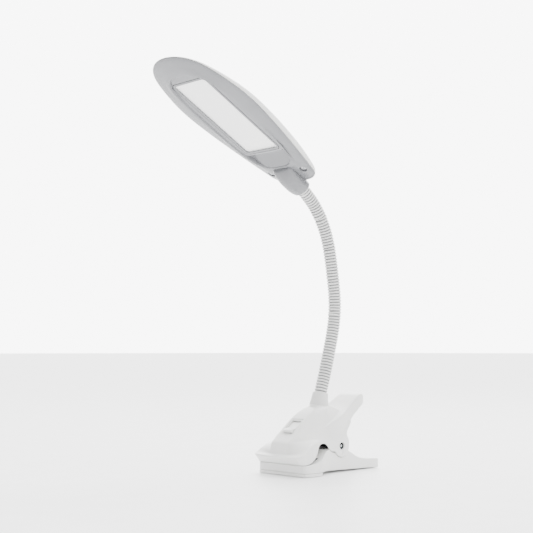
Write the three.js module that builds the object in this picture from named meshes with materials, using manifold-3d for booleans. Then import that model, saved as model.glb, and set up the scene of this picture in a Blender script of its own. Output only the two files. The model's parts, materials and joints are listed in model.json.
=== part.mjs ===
// Clip-on reading lamp: a sprung desk clip, a corrugated gooseneck and a flat oval lamp head.
// Millimetres, +Z up. The origin is the centre of the sole under the clip's nose, the nose points
// along -Y and the lamp's width runs along X.

import * as THREE from "three";
import { mergeVertices } from "three/addons/utils/BufferGeometryUtils.js";
import Module from "manifold-3d";

const wasm = await Module();
wasm.setup();

// ---------------------------------------------------------------- driving dimensions

// clearances
const SEAT_GAP = 0.3; // between pieces that are fastened together in a turned place
const RUN_GAP = 0.4; // between faces that slide past each other
const PIN_GAP = 0.08; // round a shaft in its hole

// clip
const NOSE_HALF_WIDTH = 33;
const JAW_FRONT = -12.5;
const FOOT_LENGTH = 25;
const FOOT_HEIGHT = 3;
const TAIL_END = 111;
const TAIL_HALF_WIDTH = 15;
const PARTING_HEIGHT = 11;
const CHEEK_HALF_WIDTH = 19.8;
const JAW_WALL = 2.2;
const LOWER_JAW_WALL = 2.5;
const PAD_THICKNESS = 1.6;
const PIVOT = { y: 51.5, z: 25.5 };
const LUG_RADIUS = 10.8;
const PIN_RADIUS = 2.2;
const PIN_HALF_LENGTH = 19.5;
const PIN_RECESS_RADIUS = 3;
const PIN_RECESS_DEPTH = 1.2;
const SPRING_COIL_RADIUS = 6.6; // to the centre of the wire
const SPRING_WIRE_RADIUS = 0.9;
const SPRING_HALF_WIDTH = 6.2;
const BUSH_RADIUS = 4.9;
const BUSH_HALF_LENGTH = 13.9;
const LUG_THICKNESS = 3;

// housing on the upper jaw
const HOUSING_TOP = 66;
const HOUSING_FLOOR_THICKNESS = 1.8;
const NOSE_FLOOR_HEIGHT = 14.6;
const HOUSING_FLOOR_HEIGHT = 30;
const CELL_RADIUS = 8;
const CELL_LENGTH = 34;
const BOARD_THICKNESS = 1.6;
const SCREW_HEAD_RADIUS = 2.4;
const SCREW_SHANK_RADIUS = 1.2;
const SCREW_LENGTH = 7;

// switch, on the slope of the housing
const SWITCH_PLACE = { y: 2.2, z: 45.6 };
const SWITCH_SLOPE = 42; // degrees
const SWITCH_WIDTH = 15;
const SWITCH_LENGTH = 20.5;
const SWITCH_DEPTH = 10;
const SWITCH_WALL = 1.2;
const ROCKER_TILT = 8; // degrees, half of the rocker's travel
const ROCKER_SWING = 0.9; // how far the proud end swings out along the slope

// gooseneck
const NECK_RADIUS = 6.7;
const NECK_VALLEY_RADIUS = NECK_RADIUS - 0.9;
const NECK_RIDGE_SPACING = 6; // every second ridge of the sleeve
const NECK_SEGMENTS = 8;
const NECK_SIDES = 10;
const JOINT_BALL_RADIUS = NECK_RADIUS + 2.3; // the rounded end of one segment, on which the next one turns
const COLLAR_LOWER_RADIUS = NECK_RADIUS + 2.8;
const COLLAR_UPPER_RADIUS = NECK_RADIUS + 0.9;
const COLLAR_HEIGHT = 13;

// lamp head, in its own frame: Y from the tip to the neck, Z up through the top shell
const HEAD_CENTRE = { y: -83.3, z: 339.8 };
const HEAD_TILT = 29; // degrees, tip up
const HEAD_WALL = 1.8;
const HEAD_SEAM = 0.4;
const WINDOW_HALF_WIDTH = 24.5;
const WINDOW_HALF_LENGTH = 55;
const WINDOW_CORNER = 6;
const FRAME_WIDTH = 2.2;
const FRAME_THICKNESS = 1.6;
const DIFFUSER_THICKNESS = 1.5;
const LIGHT_BOARD_THICKNESS = 1.2;
const LED_SIZE = 2.8;
const LED_HEIGHT = 0.7;
const LED_ROWS = 4;
const LEDS_PER_ROW = 8;
const HEAD_SCREW = { x: 22.5, y: 90.5 };
const SADDLE_FRONT = 84;
const SADDLE_MOUTH_RADIUS = NECK_RADIUS + 2.3;

// ---------------------------------------------------------------- helpers

const X_AXIS = new THREE.Vector3(1, 0, 0);
const vec = (x, y, z) => new THREE.Vector3(x, y, z);
const radians = THREE.MathUtils.degToRad;

// A closed mesh as a solid, with its faces pointing out.
function solidOf(geometry) {
  const bare = geometry.clone();
  bare.deleteAttribute("normal");
  bare.deleteAttribute("uv");
  const merged = mergeVertices(bare, 1e-4);
  const vertProperties = merged.attributes.position.array;
  const triVerts = new Uint32Array(merged.index.array);
  const made = new wasm.Manifold(new wasm.Mesh({ numProp: 3, vertProperties, triVerts }));
  if (made.volume() >= 0) return made;
  return new wasm.Manifold(new wasm.Mesh({ numProp: 3, vertProperties, triVerts: triVerts.reverse() }));
}

function geometryOf(solid) {
  const mesh = solid.getMesh();
  const geometry = new THREE.BufferGeometry();
  geometry.setAttribute("position", new THREE.BufferAttribute(new Float32Array(mesh.vertProperties), 3));
  geometry.setIndex(new THREE.BufferAttribute(new Uint32Array(mesh.triVerts), 1));
  geometry.computeVertexNormals();
  return geometry;
}

function joined(...solids) {
  return solids.reduce((all, next) => all.add(next));
}

// A skin through rings that have the same number of points, with flat ends or joined to itself.
function loft(rings, endless = false) {
  const count = rings[0].length;
  const points = rings.flat();
  const index = [];
  const spans = endless ? rings.length : rings.length - 1;
  for (let r = 0; r < spans; r++) {
    const next = (r + 1) % rings.length;
    for (let i = 0; i < count; i++) {
      const j = (i + 1) % count;
      const corners = [r * count + i, r * count + j, next * count + j, next * count + i];
      index.push(corners[0], corners[1], corners[2], corners[0], corners[2], corners[3]);
    }
  }
  if (!endless) {
    for (const [r, turned] of [[0, true], [rings.length - 1, false]]) {
      const middle = points.length;
      points.push(rings[r].reduce((sum, p) => sum.add(p), vec(0, 0, 0)).divideScalar(count));
      for (let i = 0; i < count; i++) {
        const edge = [r * count + i, r * count + ((i + 1) % count)];
        index.push(middle, ...(turned ? edge.reverse() : edge));
      }
    }
  }
  const geometry = new THREE.BufferGeometry().setFromPoints(points);
  geometry.setIndex(index);
  return solidOf(geometry);
}

// An outline of [a, b] corners, extruded between two levels along the named axis.
function prism(axis, outline, low, high) {
  const shape = new THREE.Shape(outline.map(([a, b]) => new THREE.Vector2(a, b)));
  const geometry = new THREE.ExtrudeGeometry(shape, { depth: high - low, bevelEnabled: false });
  geometry.translate(0, 0, low);
  if (axis === "x") {
    geometry.applyMatrix4(new THREE.Matrix4().makeBasis(vec(0, 1, 0), vec(0, 0, 1), vec(1, 0, 0)));
  }
  return solidOf(geometry);
}

function box(low, high) {
  const size = high.map((value, i) => value - low[i]);
  const geometry = new THREE.BoxGeometry(...size);
  geometry.translate(...low.map((value, i) => value + size[i] / 2));
  return solidOf(geometry);
}

// A round bar between two points, with a second radius where it tapers.
function bar(from, to, radius, endRadius = radius, sides = 14) {
  const reach = to.clone().sub(from);
  const geometry = new THREE.CylinderGeometry(endRadius, radius, reach.length(), sides);
  const turn = new THREE.Quaternion().setFromUnitVectors(vec(0, 1, 0), reach.clone().normalize());
  geometry.applyQuaternion(turn);
  geometry.translate(...from.clone().addScaledVector(reach, 0.5).toArray());
  return solidOf(geometry);
}

// A bar across the clip, along X at the given height.
function crossBar(x0, x1, y, z, radius, sides = 16) {
  return bar(vec(x0, y, z), vec(x1, y, z), radius, radius, sides);
}

// A smooth value between the [position, value] stations of a table.
function along(stations, at) {
  const last = stations.length - 1;
  if (at <= stations[0][0]) return stations[0][1];
  if (at >= stations[last][0]) return stations[last][1];
  const i = stations.findIndex(([position]) => position > at) - 1;
  const [p0, v0] = stations[i];
  const [p1, v1] = stations[i + 1];
  const slope = (k) => {
    const a = stations[Math.max(k - 1, 0)];
    const b = stations[Math.min(k + 1, last)];
    return (b[1] - a[1]) / (b[0] - a[0]);
  };
  const t = (at - p0) / (p1 - p0);
  const span = p1 - p0;
  const rise = slope(i) * span * (t * t * t - 2 * t * t + t) + slope(i + 1) * span * (t * t * t - t * t);
  return v0 * (2 * t * t * t - 3 * t * t + 1) + v1 * (3 * t * t - 2 * t * t * t) + rise;
}

const lamp = new THREE.Group();

function addPiece(name, solid, finish, parent = lamp) {
  const mesh = new THREE.Mesh(geometryOf(solid), finish);
  mesh.name = name;
  parent.add(mesh);
}

// ---------------------------------------------------------------- finishes

const plastic = (color, roughness = 0.35) =>
  new THREE.MeshStandardMaterial({ color, roughness, metalness: 0 });
const metal = (color, roughness = 0.3) =>
  new THREE.MeshStandardMaterial({ color, roughness, metalness: 1 });

const whiteShell = plastic(0xf2f2f0, 0.3);
const silverCover = plastic(0xb4b6b8, 0.25);
const neckSleeve = plastic(0xe6e6e4, 0.5);
const softPad = plastic(0x8e9092, 0.8);
const opalPanel = plastic(0xf4f4f2, 0.55);
const blackNylon = plastic(0x141414, 0.5);
const greenBoard = plastic(0x2c5a3c, 0.5);
const whiteBoard = plastic(0xe8e8e2, 0.5);
const cellSleeve = plastic(0x3a5f8c, 0.4);
const zincSteel = metal(0xb8babc);
const springSteel = metal(0x8c8e90, 0.35);

// ---------------------------------------------------------------- clip outlines

const PIVOT_ROUND = 20; // sides of the round shapes on the pivot

function circleYZ(radius, from, to, steps) {
  return Array.from({ length: steps + 1 }, (_, i) => {
    const angle = radians(from + ((to - from) * i) / steps);
    return [PIVOT.y + radius * Math.cos(angle), PIVOT.z + radius * Math.sin(angle)];
  });
}

// The half width of the lower jaw along the clip.
const LOWER_PLAN = [
  [JAW_FRONT, NOSE_HALF_WIDTH - 2.4],
  [JAW_FRONT + 0.8, NOSE_HALF_WIDTH - 0.9],
  [JAW_FRONT + 2.8, NOSE_HALF_WIDTH],
  [6, NOSE_HALF_WIDTH - 0.2],
  [13, NOSE_HALF_WIDTH - 1.6],
  [22, NOSE_HALF_WIDTH - 7],
  [32, CHEEK_HALF_WIDTH + 2],
  [44, CHEEK_HALF_WIDTH],
  [66, CHEEK_HALF_WIDTH - 1.6],
  [90, TAIL_HALF_WIDTH + 0.6],
  [TAIL_END, TAIL_HALF_WIDTH],
];

function lowerPlan(inset, from = JAW_FRONT, to = TAIL_END) {
  const stations = LOWER_PLAN.filter(([y]) => y > from && y < to).map(([y]) => y);
  const side = [from, ...stations, to].map((y) => [along(LOWER_PLAN, y) - inset, y]);
  return [...side, ...side.map(([x, y]) => [-x, y]).reverse()];
}

// The grip face of the lower jaw, from the nose back to the pivot.
const GRIP_FACE = [
  [JAW_FRONT, PARTING_HEIGHT - 0.3],
  [0, 11.6],
  [9, 13.4],
  [16, 16.6],
  [23, 20.2],
  [29, 22.4],
  [36, 23],
];

const TAIL_TOP = [
  [TAIL_END, 9.4],
  [89, 10.8],
  [79.5, 12.6],
  [70, 17],
  [62.6, 20.6],
];

// The space beside the lugs that the cheeks of the upper jaw fill.
const CHEEK_ROOM = [
  [32.2, 23],
  [37, 20],
  [PIVOT.y, 17],
  [PIVOT.y + LUG_RADIUS, 22],
  [PIVOT.y + LUG_RADIUS, 60],
  [32.2, 60],
];

// ---------------------------------------------------------------- lower jaw

function lowerJaw() {
  const sole = [[JAW_FRONT, FOOT_HEIGHT], [JAW_FRONT + FOOT_LENGTH, FOOT_HEIGHT], [TAIL_END, 0]];
  const outline = [...sole, ...TAIL_TOP, ...[...GRIP_FACE].reverse()];
  const full = prism("x", outline, -NOSE_HALF_WIDTH - 1, NOSE_HALF_WIDTH + 1);
  const body = full.intersect(prism("z", lowerPlan(0), -1, 60));
  const lugHeight = 4;
  const lugHalf = CHEEK_HALF_WIDTH - JAW_WALL - RUN_GAP;
  const lug = [
    [PIVOT.y + LUG_RADIUS - 2, lugHeight],
    ...circleYZ(LUG_RADIUS - 2, 0, 180, 12),
    [PIVOT.y - LUG_RADIUS + 2, lugHeight],
  ];
  const trough = prism("x", [
    [32, LOWER_JAW_WALL + 3.5],
    [TAIL_END - 14, LOWER_JAW_WALL + 1],
    [TAIL_END - 14, 40],
    [32, 40],
  ], -lugHalf + LUG_THICKNESS, lugHalf - LUG_THICKNESS);
  const slimTail = prism("z", lowerPlan(LOWER_JAW_WALL, 30, TAIL_END - 10), -1, 60);
  const noseHollow = prism("z", lowerPlan(LOWER_JAW_WALL + 0.5, JAW_FRONT + 4, 28), FOOT_HEIGHT, 8.4);
  let made = body.subtract(trough.intersect(slimTail)).subtract(noseHollow.intersect(soleHollow()));
  for (const side of [-1, 1]) {
    const inner = side * (lugHalf - LUG_THICKNESS);
    const outer = side * lugHalf;
    const [low, high] = [Math.min(inner, outer), Math.max(inner, outer)];
    const far = side * (NOSE_HALF_WIDTH + 2);
    const recess = crossBar(outer, far, PIVOT.y, PIVOT.z, LUG_RADIUS + RUN_GAP, PIVOT_ROUND);
    const cheekRoom = prism("x", CHEEK_ROOM, Math.min(outer, far), Math.max(outer, far));
    made = made.subtract(recess).subtract(cheekRoom).add(prism("x", lug, low, high));
  }
  const shaftHole = crossBar(-40, 40, PIVOT.y, PIVOT.z, PIN_RADIUS + PIN_GAP);
  const padSeat = lowerPad(SEAT_GAP, 3);
  return made.subtract(shaftHole).subtract(padSeat);
}

// The moulding is cored out from below, over the foot pad.
function soleHollow() {
  const low = [-NOSE_HALF_WIDTH, JAW_FRONT + 4, FOOT_HEIGHT - 1];
  const high = [NOSE_HALF_WIDTH, JAW_FRONT + FOOT_LENGTH - 3, 8.4];
  return box(low, high);
}

function footPad() {
  const plan = lowerPlan(0, JAW_FRONT, JAW_FRONT + FOOT_LENGTH);
  const chamfer = 1.2;
  const rear = JAW_FRONT + FOOT_LENGTH;
  const sole = [[JAW_FRONT, 0], [rear - chamfer, 0], [rear, chamfer]];
  const top = [[rear, FOOT_HEIGHT], [JAW_FRONT, FOOT_HEIGHT]];
  const profile = prism("x", [...sole, ...top], -NOSE_HALF_WIDTH, NOSE_HALF_WIDTH);
  return prism("z", plan, 0, FOOT_HEIGHT).intersect(profile);
}

// The lower grip pad lies in a shallow seat in the grip face.
const PAD_SINK = 1.3;
const PAD_FROM = -9;
const PAD_TO = 14;
const PAD_HALF_WIDTH = 24;

function lowerPad(grow, headroom = 0) {
  const ys = [PAD_FROM - grow, -3, 3, 9, PAD_TO + grow];
  const base = ys.map((y) => [y, along(GRIP_FACE, y) - PAD_SINK - grow]);
  const top = ys.map((y) => [y, along(GRIP_FACE, y) - PAD_SINK + PAD_THICKNESS + headroom]);
  return prism("x", [...base, ...top.reverse()], -PAD_HALF_WIDTH - grow, PAD_HALF_WIDTH + grow);
}

// ---------------------------------------------------------------- upper jaw housing

// Sections of the housing from the bottom up: [height, front, half width of the flat front,
// half width, where the corner ends, share of the brim's rise].
const HOUSING_LEVELS = [
  [6, -11.5, NOSE_HALF_WIDTH - 4, NOSE_HALF_WIDTH - 1.4, -8, 0],
  [PARTING_HEIGHT, -13.2, NOSE_HALF_WIDTH - 3.6, NOSE_HALF_WIDTH - 0.6, -9.6, 0],
  [14.4, -17.2, NOSE_HALF_WIDTH - 4.5, NOSE_HALF_WIDTH - 0.3, -12, 0.6],
  [17.4, -20.4, NOSE_HALF_WIDTH - 6, NOSE_HALF_WIDTH, -14, 1],
  [19, -18.4, NOSE_HALF_WIDTH - 11, NOSE_HALF_WIDTH - 0.4, -12.5, 1],
  [22, -15.8, 13, NOSE_HALF_WIDTH - 1.2, -7.5, 0.8],
  [27, -15, 11.6, NOSE_HALF_WIDTH - 3.4, 0, 0.4],
  [31.6, -14.2, 11.2, NOSE_HALF_WIDTH - 6.6, 9, 0.1],
  [36.6, -7.8, 10.6, NOSE_HALF_WIDTH - 10.4, 18, 0],
  [41.4, -2.3, 10.2, NOSE_HALF_WIDTH - 12.4, 24, 0],
  [47.6, 4.4, 9.6, NOSE_HALF_WIDTH - 14.6, 28, 0],
  [53.4, 11.3, 8.8, NOSE_HALF_WIDTH - 16.6, 32, 0],
  [59.8, 21, 7.6, NOSE_HALF_WIDTH - 19.4, 37, 0],
  [63.8, 29.4, 6, NOSE_HALF_WIDTH - 22.6, 41, 0],
  [HOUSING_TOP, 36, 4.4, NOSE_HALF_WIDTH - 26.4, 43, 0],
];
const BRIM_HEIGHT = 17.4;
const CORNER_RISE = 2; // how much higher the brim is at its corners
const BRIM_RISE = [[-16, 0], [-8, 2.4], [0, 4.8], [10, 6]]; // and along the sides
const HOUSING_REAR = [[6, 66], [52, 66], [57, 62], [61, 56], [HOUSING_TOP, 46]];
const CHEEK_LINE = [
  [6, CHEEK_HALF_WIDTH],
  [44, CHEEK_HALF_WIDTH - 0.4],
  [52, CHEEK_HALF_WIDTH - 3.2],
  [59, CHEEK_HALF_WIDTH - 7.2],
  [HOUSING_TOP, CHEEK_HALF_WIDTH - 13.2],
];
const CORNER_STEPS = 5;
const SIDE_STEPS = 4;

// One section as a closed ring, moved in by a wall.
function housingRing([height, front, flat, half, cornerEnd, rise], inset) {
  const rear = along(HOUSING_REAR, height);
  const cheek = Math.min(along(CHEEK_LINE, height), half);
  const cheekFrom = Math.max(Math.min(40, rear - 6), cornerEnd + 4);
  const side = [];
  for (let i = 0; i <= CORNER_STEPS; i++) {
    const t = (i / CORNER_STEPS) * (Math.PI / 2);
    side.push([flat + (half - flat) * Math.sin(t), front + (cornerEnd - front) * (1 - Math.cos(t))]);
  }
  for (let i = 1; i <= SIDE_STEPS; i++) {
    const t = i / SIDE_STEPS;
    const ease = (1 - Math.cos(Math.PI * t)) / 2;
    side.push([half + (cheek - half) * ease, cornerEnd + (cheekFrom - cornerEnd) * t]);
  }
  side.push([cheek, rear]);
  const level = height - (height > BRIM_HEIGHT ? inset : 0);
  const lift = (x, y) => rise * (CORNER_RISE * (x / NOSE_HALF_WIDTH) ** 4 + along(BRIM_RISE, y));
  const right = side.map(([x, y]) => {
    const innerY = THREE.MathUtils.clamp(y, front + inset, rear - inset);
    return vec(Math.max(x - inset, 0.8), innerY, level + lift(x, y));
  });
  return [...right, ...right.map(({ x, y, z }) => vec(-x, y, z)).reverse()];
}

const housingOuter = () => loft(HOUSING_LEVELS.map((level) => housingRing(level, 0)));
const housingInner = (inset) => loft(HOUSING_LEVELS.map((level) => housingRing(level, inset)));

// The cheeks and the thumb lever are one tapered body under a sloping top line.
const LEVER_PLAN = [
  [8, CHEEK_HALF_WIDTH - 2],
  [30, CHEEK_HALF_WIDTH],
  [56, CHEEK_HALF_WIDTH],
  [66, 16.6],
  [76, 14.8],
  [85, 14.2],
  [90, 13.2],
  [92, 11.6],
  [92.8, 9],
];
const LEVER_END = 92.8;
const LEVER_TOP = [
  [8, 36.4],
  [28, 45],
  [51, 56],
  [66, 64],
  [78, 71.6],
  [84, 75],
  [88, 75.8],
  [91, 74.2],
  [LEVER_END, 71],
];

function leverBody(inset) {
  const ys = LEVER_PLAN.map(([y]) => y);
  const side = ys.map((y) => [along(LEVER_PLAN, y) - inset, Math.min(y, LEVER_END - inset)]);
  const plan = [...side, ...side.map(([x, y]) => [-x, y]).reverse()];
  const top = LEVER_TOP.map(([y, z]) => [y, z - inset * 1.1]);
  const outline = [[8, 0], [96, 0], [96, top[top.length - 1][1]], ...top.slice().reverse()];
  return prism("z", plan, -1, 90).intersect(prism("x", outline, -40, 40));
}

// What stays of the upper jaw, seen from the side: nose wall, throat arch, lug, lever edge.
const NOSE_WALL_EDGE = [
  [-30, PARTING_HEIGHT],
  [-13.5, PARTING_HEIGHT],
  [-2, 13],
  [6.5, 17.4],
  [10.6, 22.8],
  [12, 27.6],
];
const THROAT_ARCH = [[14.4, 29.2], [18, 29.6], [24, 29.2], [29, 27], [33, 23.4], [37.4, 20.6]];
const LEVER_EDGE = [
  [62, 22.6],
  [61.6, 30],
  [58, 35.6],
  [58.6, 39.4],
  [66, 46.8],
  [73.5, 54],
  [84.8, 62.4],
  [90.4, 65.4],
  [LEVER_END + 0.4, 68.4],
];

function jawSilhouette() {
  const lug = circleYZ(LUG_RADIUS, 207, 345, 12);
  const outline = [...NOSE_WALL_EDGE, ...THROAT_ARCH, ...lug, ...LEVER_EDGE, [96, 90], [-30, 90]];
  return prism("x", outline, -40, 40);
}

function switchFrame() {
  const frame = new THREE.Group();
  frame.position.set(0, SWITCH_PLACE.y, SWITCH_PLACE.z);
  frame.rotation.x = radians(SWITCH_SLOPE);
  frame.updateMatrixWorld(true);
  return frame;
}

function placed(solid, group) {
  return solid.transform(group.matrixWorld.elements);
}

const SOCKET = { y: -3.5, z: 19.9, halfWidth: 4, halfHeight: 1.5, inner: -25.2, mouth: -31.6 };
const SCREW_PLACES = [[-13.4, 19.5], [13.4, 19.5], [-12.4, 33.5], [12.4, 33.5]];

function upperJaw() {
  const skin = joined(housingOuter(), leverBody(0)).intersect(jawSilhouette());
  let made = skin.subtract(housingInner(JAW_WALL)).subtract(leverBody(JAW_WALL));
  made = made.add(neckBar(-NECK_BOSS_DEPTH, 0, COLLAR_LOWER_RADIUS).intersect(housingInner(0.8)));
  const pocket = box(
    [-SWITCH_WIDTH / 2 - SEAT_GAP, -SWITCH_LENGTH / 2 - SEAT_GAP, -SWITCH_DEPTH],
    [SWITCH_WIDTH / 2 + SEAT_GAP, SWITCH_LENGTH / 2 + SEAT_GAP, 8],
  );
  made = made.subtract(placed(pocket, switchFrame()));
  made = made.subtract(neckBar(-COLLAR_SEAT_DEPTH, 12, COLLAR_LOWER_RADIUS + SEAT_GAP));
  made = made.subtract(neckBar(-12, 12, NECK_RADIUS + SEAT_GAP));
  made = made.subtract(crossBar(-40, 40, PIVOT.y, PIVOT.z, PIN_RADIUS + PIN_GAP));
  const recess = CHEEK_HALF_WIDTH - PIN_RECESS_DEPTH;
  made = made.subtract(crossBar(recess, 40, PIVOT.y, PIVOT.z, PIN_RECESS_RADIUS));
  made = made.subtract(crossBar(-40, -recess, PIVOT.y, PIVOT.z, PIN_RECESS_RADIUS));
  const { y, z, halfWidth, halfHeight } = SOCKET;
  const inlet = box(
    [-40, y - halfWidth - SEAT_GAP, z - halfHeight - SEAT_GAP],
    [SOCKET.inner - 1, y + halfWidth + SEAT_GAP, z + halfHeight + SEAT_GAP],
  );
  made = made.subtract(inlet);
  for (const [x, screwY] of SCREW_PLACES) made = made.add(screwPost(x, screwY));
  return made;
}

// A post hangs from the housing's roof down to the floor plate and takes one screw.
function screwPost(x, y) {
  const bottom = HOUSING_FLOOR_HEIGHT + HOUSING_FLOOR_THICKNESS;
  const radius = SCREW_SHANK_RADIUS + 1.4;
  const full = bar(vec(x, y, bottom + 0.05), vec(x, y, HOUSING_TOP), radius, radius, 12);
  const post = full.intersect(housingInner(0.8));
  const hole = bar(vec(x, y, bottom - 1), vec(x, y, bottom + SCREW_LENGTH), SCREW_SHANK_RADIUS + PIN_GAP);
  return post.subtract(hole);
}

// The floor closes the housing: low over the grip in the nose, high over the throat.
function housingFloor() {
  const t = HOUSING_FLOOR_THICKNESS;
  const riser = 8.2;
  const outline = [
    [-10.6, NOSE_FLOOR_HEIGHT],
    [riser, NOSE_FLOOR_HEIGHT],
    [riser, HOUSING_FLOOR_HEIGHT],
    [38, HOUSING_FLOOR_HEIGHT],
    [38, HOUSING_FLOOR_HEIGHT + t],
    [riser - t, HOUSING_FLOOR_HEIGHT + t],
    [riser - t, NOSE_FLOOR_HEIGHT + t],
    [-10.6, NOSE_FLOOR_HEIGHT + t],
  ];
  const inset = JAW_WALL + 3 * SEAT_GAP;
  const inside = joined(housingInner(inset), leverBody(inset));
  let made = prism("x", outline, -NOSE_HALF_WIDTH, NOSE_HALF_WIDTH).intersect(inside);
  for (const [x, y] of SCREW_PLACES) {
    const shank = bar(vec(x, y, 20), vec(x, y, 40), SCREW_SHANK_RADIUS + PIN_GAP);
    made = made.subtract(shank);
  }
  return made;
}

function floorScrew(x, y) {
  const at = (height) => vec(x, y, HOUSING_FLOOR_HEIGHT + height);
  const head = bar(at(-1.4), at(0), SCREW_HEAD_RADIUS - 0.5, SCREW_HEAD_RADIUS, 14);
  const shank = bar(at(-0.5), at(SCREW_LENGTH), SCREW_SHANK_RADIUS, SCREW_SHANK_RADIUS, 10);
  return head.add(shank);
}

function upperPad() {
  const ys = [PAD_FROM, -4, 1, 4.4];
  const high = ys.map((y) => [y, NOSE_FLOOR_HEIGHT]);
  const low = ys.map((y) => [y, along(GRIP_FACE, y) - PAD_SINK + PAD_THICKNESS + RUN_GAP]);
  return prism("x", [...low, ...high.reverse()], -PAD_HALF_WIDTH, PAD_HALF_WIDTH);
}

const CELL = { y: 18.6, z: 42.8 };

function batteryCell() {
  const { y, z } = CELL;
  const body = bar(vec(0, y, z), vec(0, y + CELL_LENGTH - 1, z), CELL_RADIUS, CELL_RADIUS, 24);
  return body.add(bar(vec(0, y + CELL_LENGTH - 2, z), vec(0, y + CELL_LENGTH, z), 3, 3, 12));
}

function cellCradle() {
  const base = HOUSING_FLOOR_HEIGHT + HOUSING_FLOOR_THICKNESS;
  const block = box([-CELL_RADIUS, 21, base], [CELL_RADIUS, 37, CELL.z - 4]);
  const room = CELL_RADIUS + SEAT_GAP;
  return block.subtract(bar(vec(0, 0, CELL.z), vec(0, 60, CELL.z), room, room, 24));
}

function chargeBoard() {
  const z = NOSE_FLOOR_HEIGHT + HOUSING_FLOOR_THICKNESS + SEAT_GAP;
  const top = z + BOARD_THICKNESS;
  const plate = box([SOCKET.inner - 1, -9, z], [13, 5.4, top]);
  const chip = box([-4, -5, top - 0.1], [3, 1, top + 1.2]);
  const coil = box([6, -4, top - 0.1], [11, 1, top + 2.4]);
  return joined(plate, chip, coil);
}

function chargeSocket() {
  const { y, z, halfWidth, halfHeight, inner, mouth } = SOCKET;
  const wall = 0.5;
  const shell = box([mouth, y - halfWidth, z - halfHeight], [inner, y + halfWidth, z + halfHeight]);
  const room = box(
    [mouth - 1, y - halfWidth + wall, z - halfHeight + wall],
    [inner - 1.6, y + halfWidth - wall, z + halfHeight - wall],
  );
  const tongue = box([mouth + 0.8, y - 2.6, z - 0.3], [inner - 1.5, y + 2.6, z + 0.3]);
  return shell.subtract(room).add(tongue);
}

// ---------------------------------------------------------------- pivot

function pivotPin() {
  return crossBar(-PIN_HALF_LENGTH, PIN_HALF_LENGTH, PIVOT.y, PIVOT.z, PIN_RADIUS);
}

function pinRetainer(side) {
  const seat = CHEEK_HALF_WIDTH - PIN_RECESS_DEPTH + 0.05;
  const disc = crossBar(side * seat, side * (seat + 0.5), PIVOT.y, PIVOT.z, PIN_RECESS_RADIUS - 0.15, 16);
  return disc.subtract(crossBar(-40, 40, PIVOT.y, PIVOT.z, PIN_RADIUS + 0.02));
}

function springBush() {
  const { y, z } = PIVOT;
  const flange = SPRING_HALF_WIDTH + SPRING_WIRE_RADIUS + 0.4;
  const made = joined(
    crossBar(-BUSH_HALF_LENGTH, BUSH_HALF_LENGTH, y, z, BUSH_RADIUS),
    crossBar(flange, flange + 1, y, z, SPRING_COIL_RADIUS + 1.2),
    crossBar(-flange - 1, -flange, y, z, SPRING_COIL_RADIUS + 1.2),
  );
  return made.subtract(crossBar(-40, 40, y, z, PIN_RADIUS + PIN_GAP));
}

// A torsion spring: one leg under the housing floor, the coil, one leg on the lower jaw.
function torsionSpring() {
  const [start, sweep, steps] = [150, 2116, 60];
  const coil = Array.from({ length: steps + 1 }, (_, i) => {
    const angle = radians(start - (sweep * i) / steps);
    const x = -SPRING_HALF_WIDTH + (2 * SPRING_HALF_WIDTH * i) / steps;
    const y = PIVOT.y + SPRING_COIL_RADIUS * Math.cos(angle);
    return vec(x, y, PIVOT.z + SPRING_COIL_RADIUS * Math.sin(angle));
  });
  const first = coil[0];
  const last = coil[steps];
  const upperLeg = [vec(first.x, 29, first.z), vec(first.x, 37, first.z)];
  const lowerLeg = [vec(last.x, 38, last.z), vec(last.x, 30, last.z)];
  const route = [...upperLeg, ...coil, ...lowerLeg];
  const wire = new THREE.CatmullRomCurve3(route, false, "centripetal");
  const circle = new THREE.EllipseCurve(0, 0, SPRING_WIRE_RADIUS, SPRING_WIRE_RADIUS);
  const section = new THREE.Shape(circle.getPoints(5).slice(0, 5));
  const geometry = new THREE.ExtrudeGeometry(section, { steps: 72, extrudePath: wire, bevelEnabled: false });
  return solidOf(geometry);
}

// ---------------------------------------------------------------- switch

function switchBody() {
  const [w, l, d, t] = [SWITCH_WIDTH / 2, SWITCH_LENGTH / 2, SWITCH_DEPTH - 0.4, SWITCH_WALL];
  const shell = box([-w, -l, -d], [w, l, -0.4]);
  const well = box([-w + t, -l + t, -d + t], [w - t, l - t, 2]);
  return shell.subtract(well);
}

// The rocker's face is a shallow V: the half towards the nose stands proud at rest.
function switchRocker() {
  const half = SWITCH_LENGTH / 2 - SWITCH_WALL - RUN_GAP - ROCKER_SWING;
  const width = SWITCH_WIDTH / 2 - SWITCH_WALL - RUN_GAP;
  const rise = Math.tan(radians(ROCKER_TILT)) * half;
  const face = [[-half, 1.8 * rise - 0.6], [0, -0.9], [half, -0.9]];
  const keel = [[half, -2.6], [2.4, -5.4], [-2.4, -5.4], [-half, -2.4]];
  return prism("x", [...face, ...keel], -width, width);
}

// ---------------------------------------------------------------- gooseneck

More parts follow.
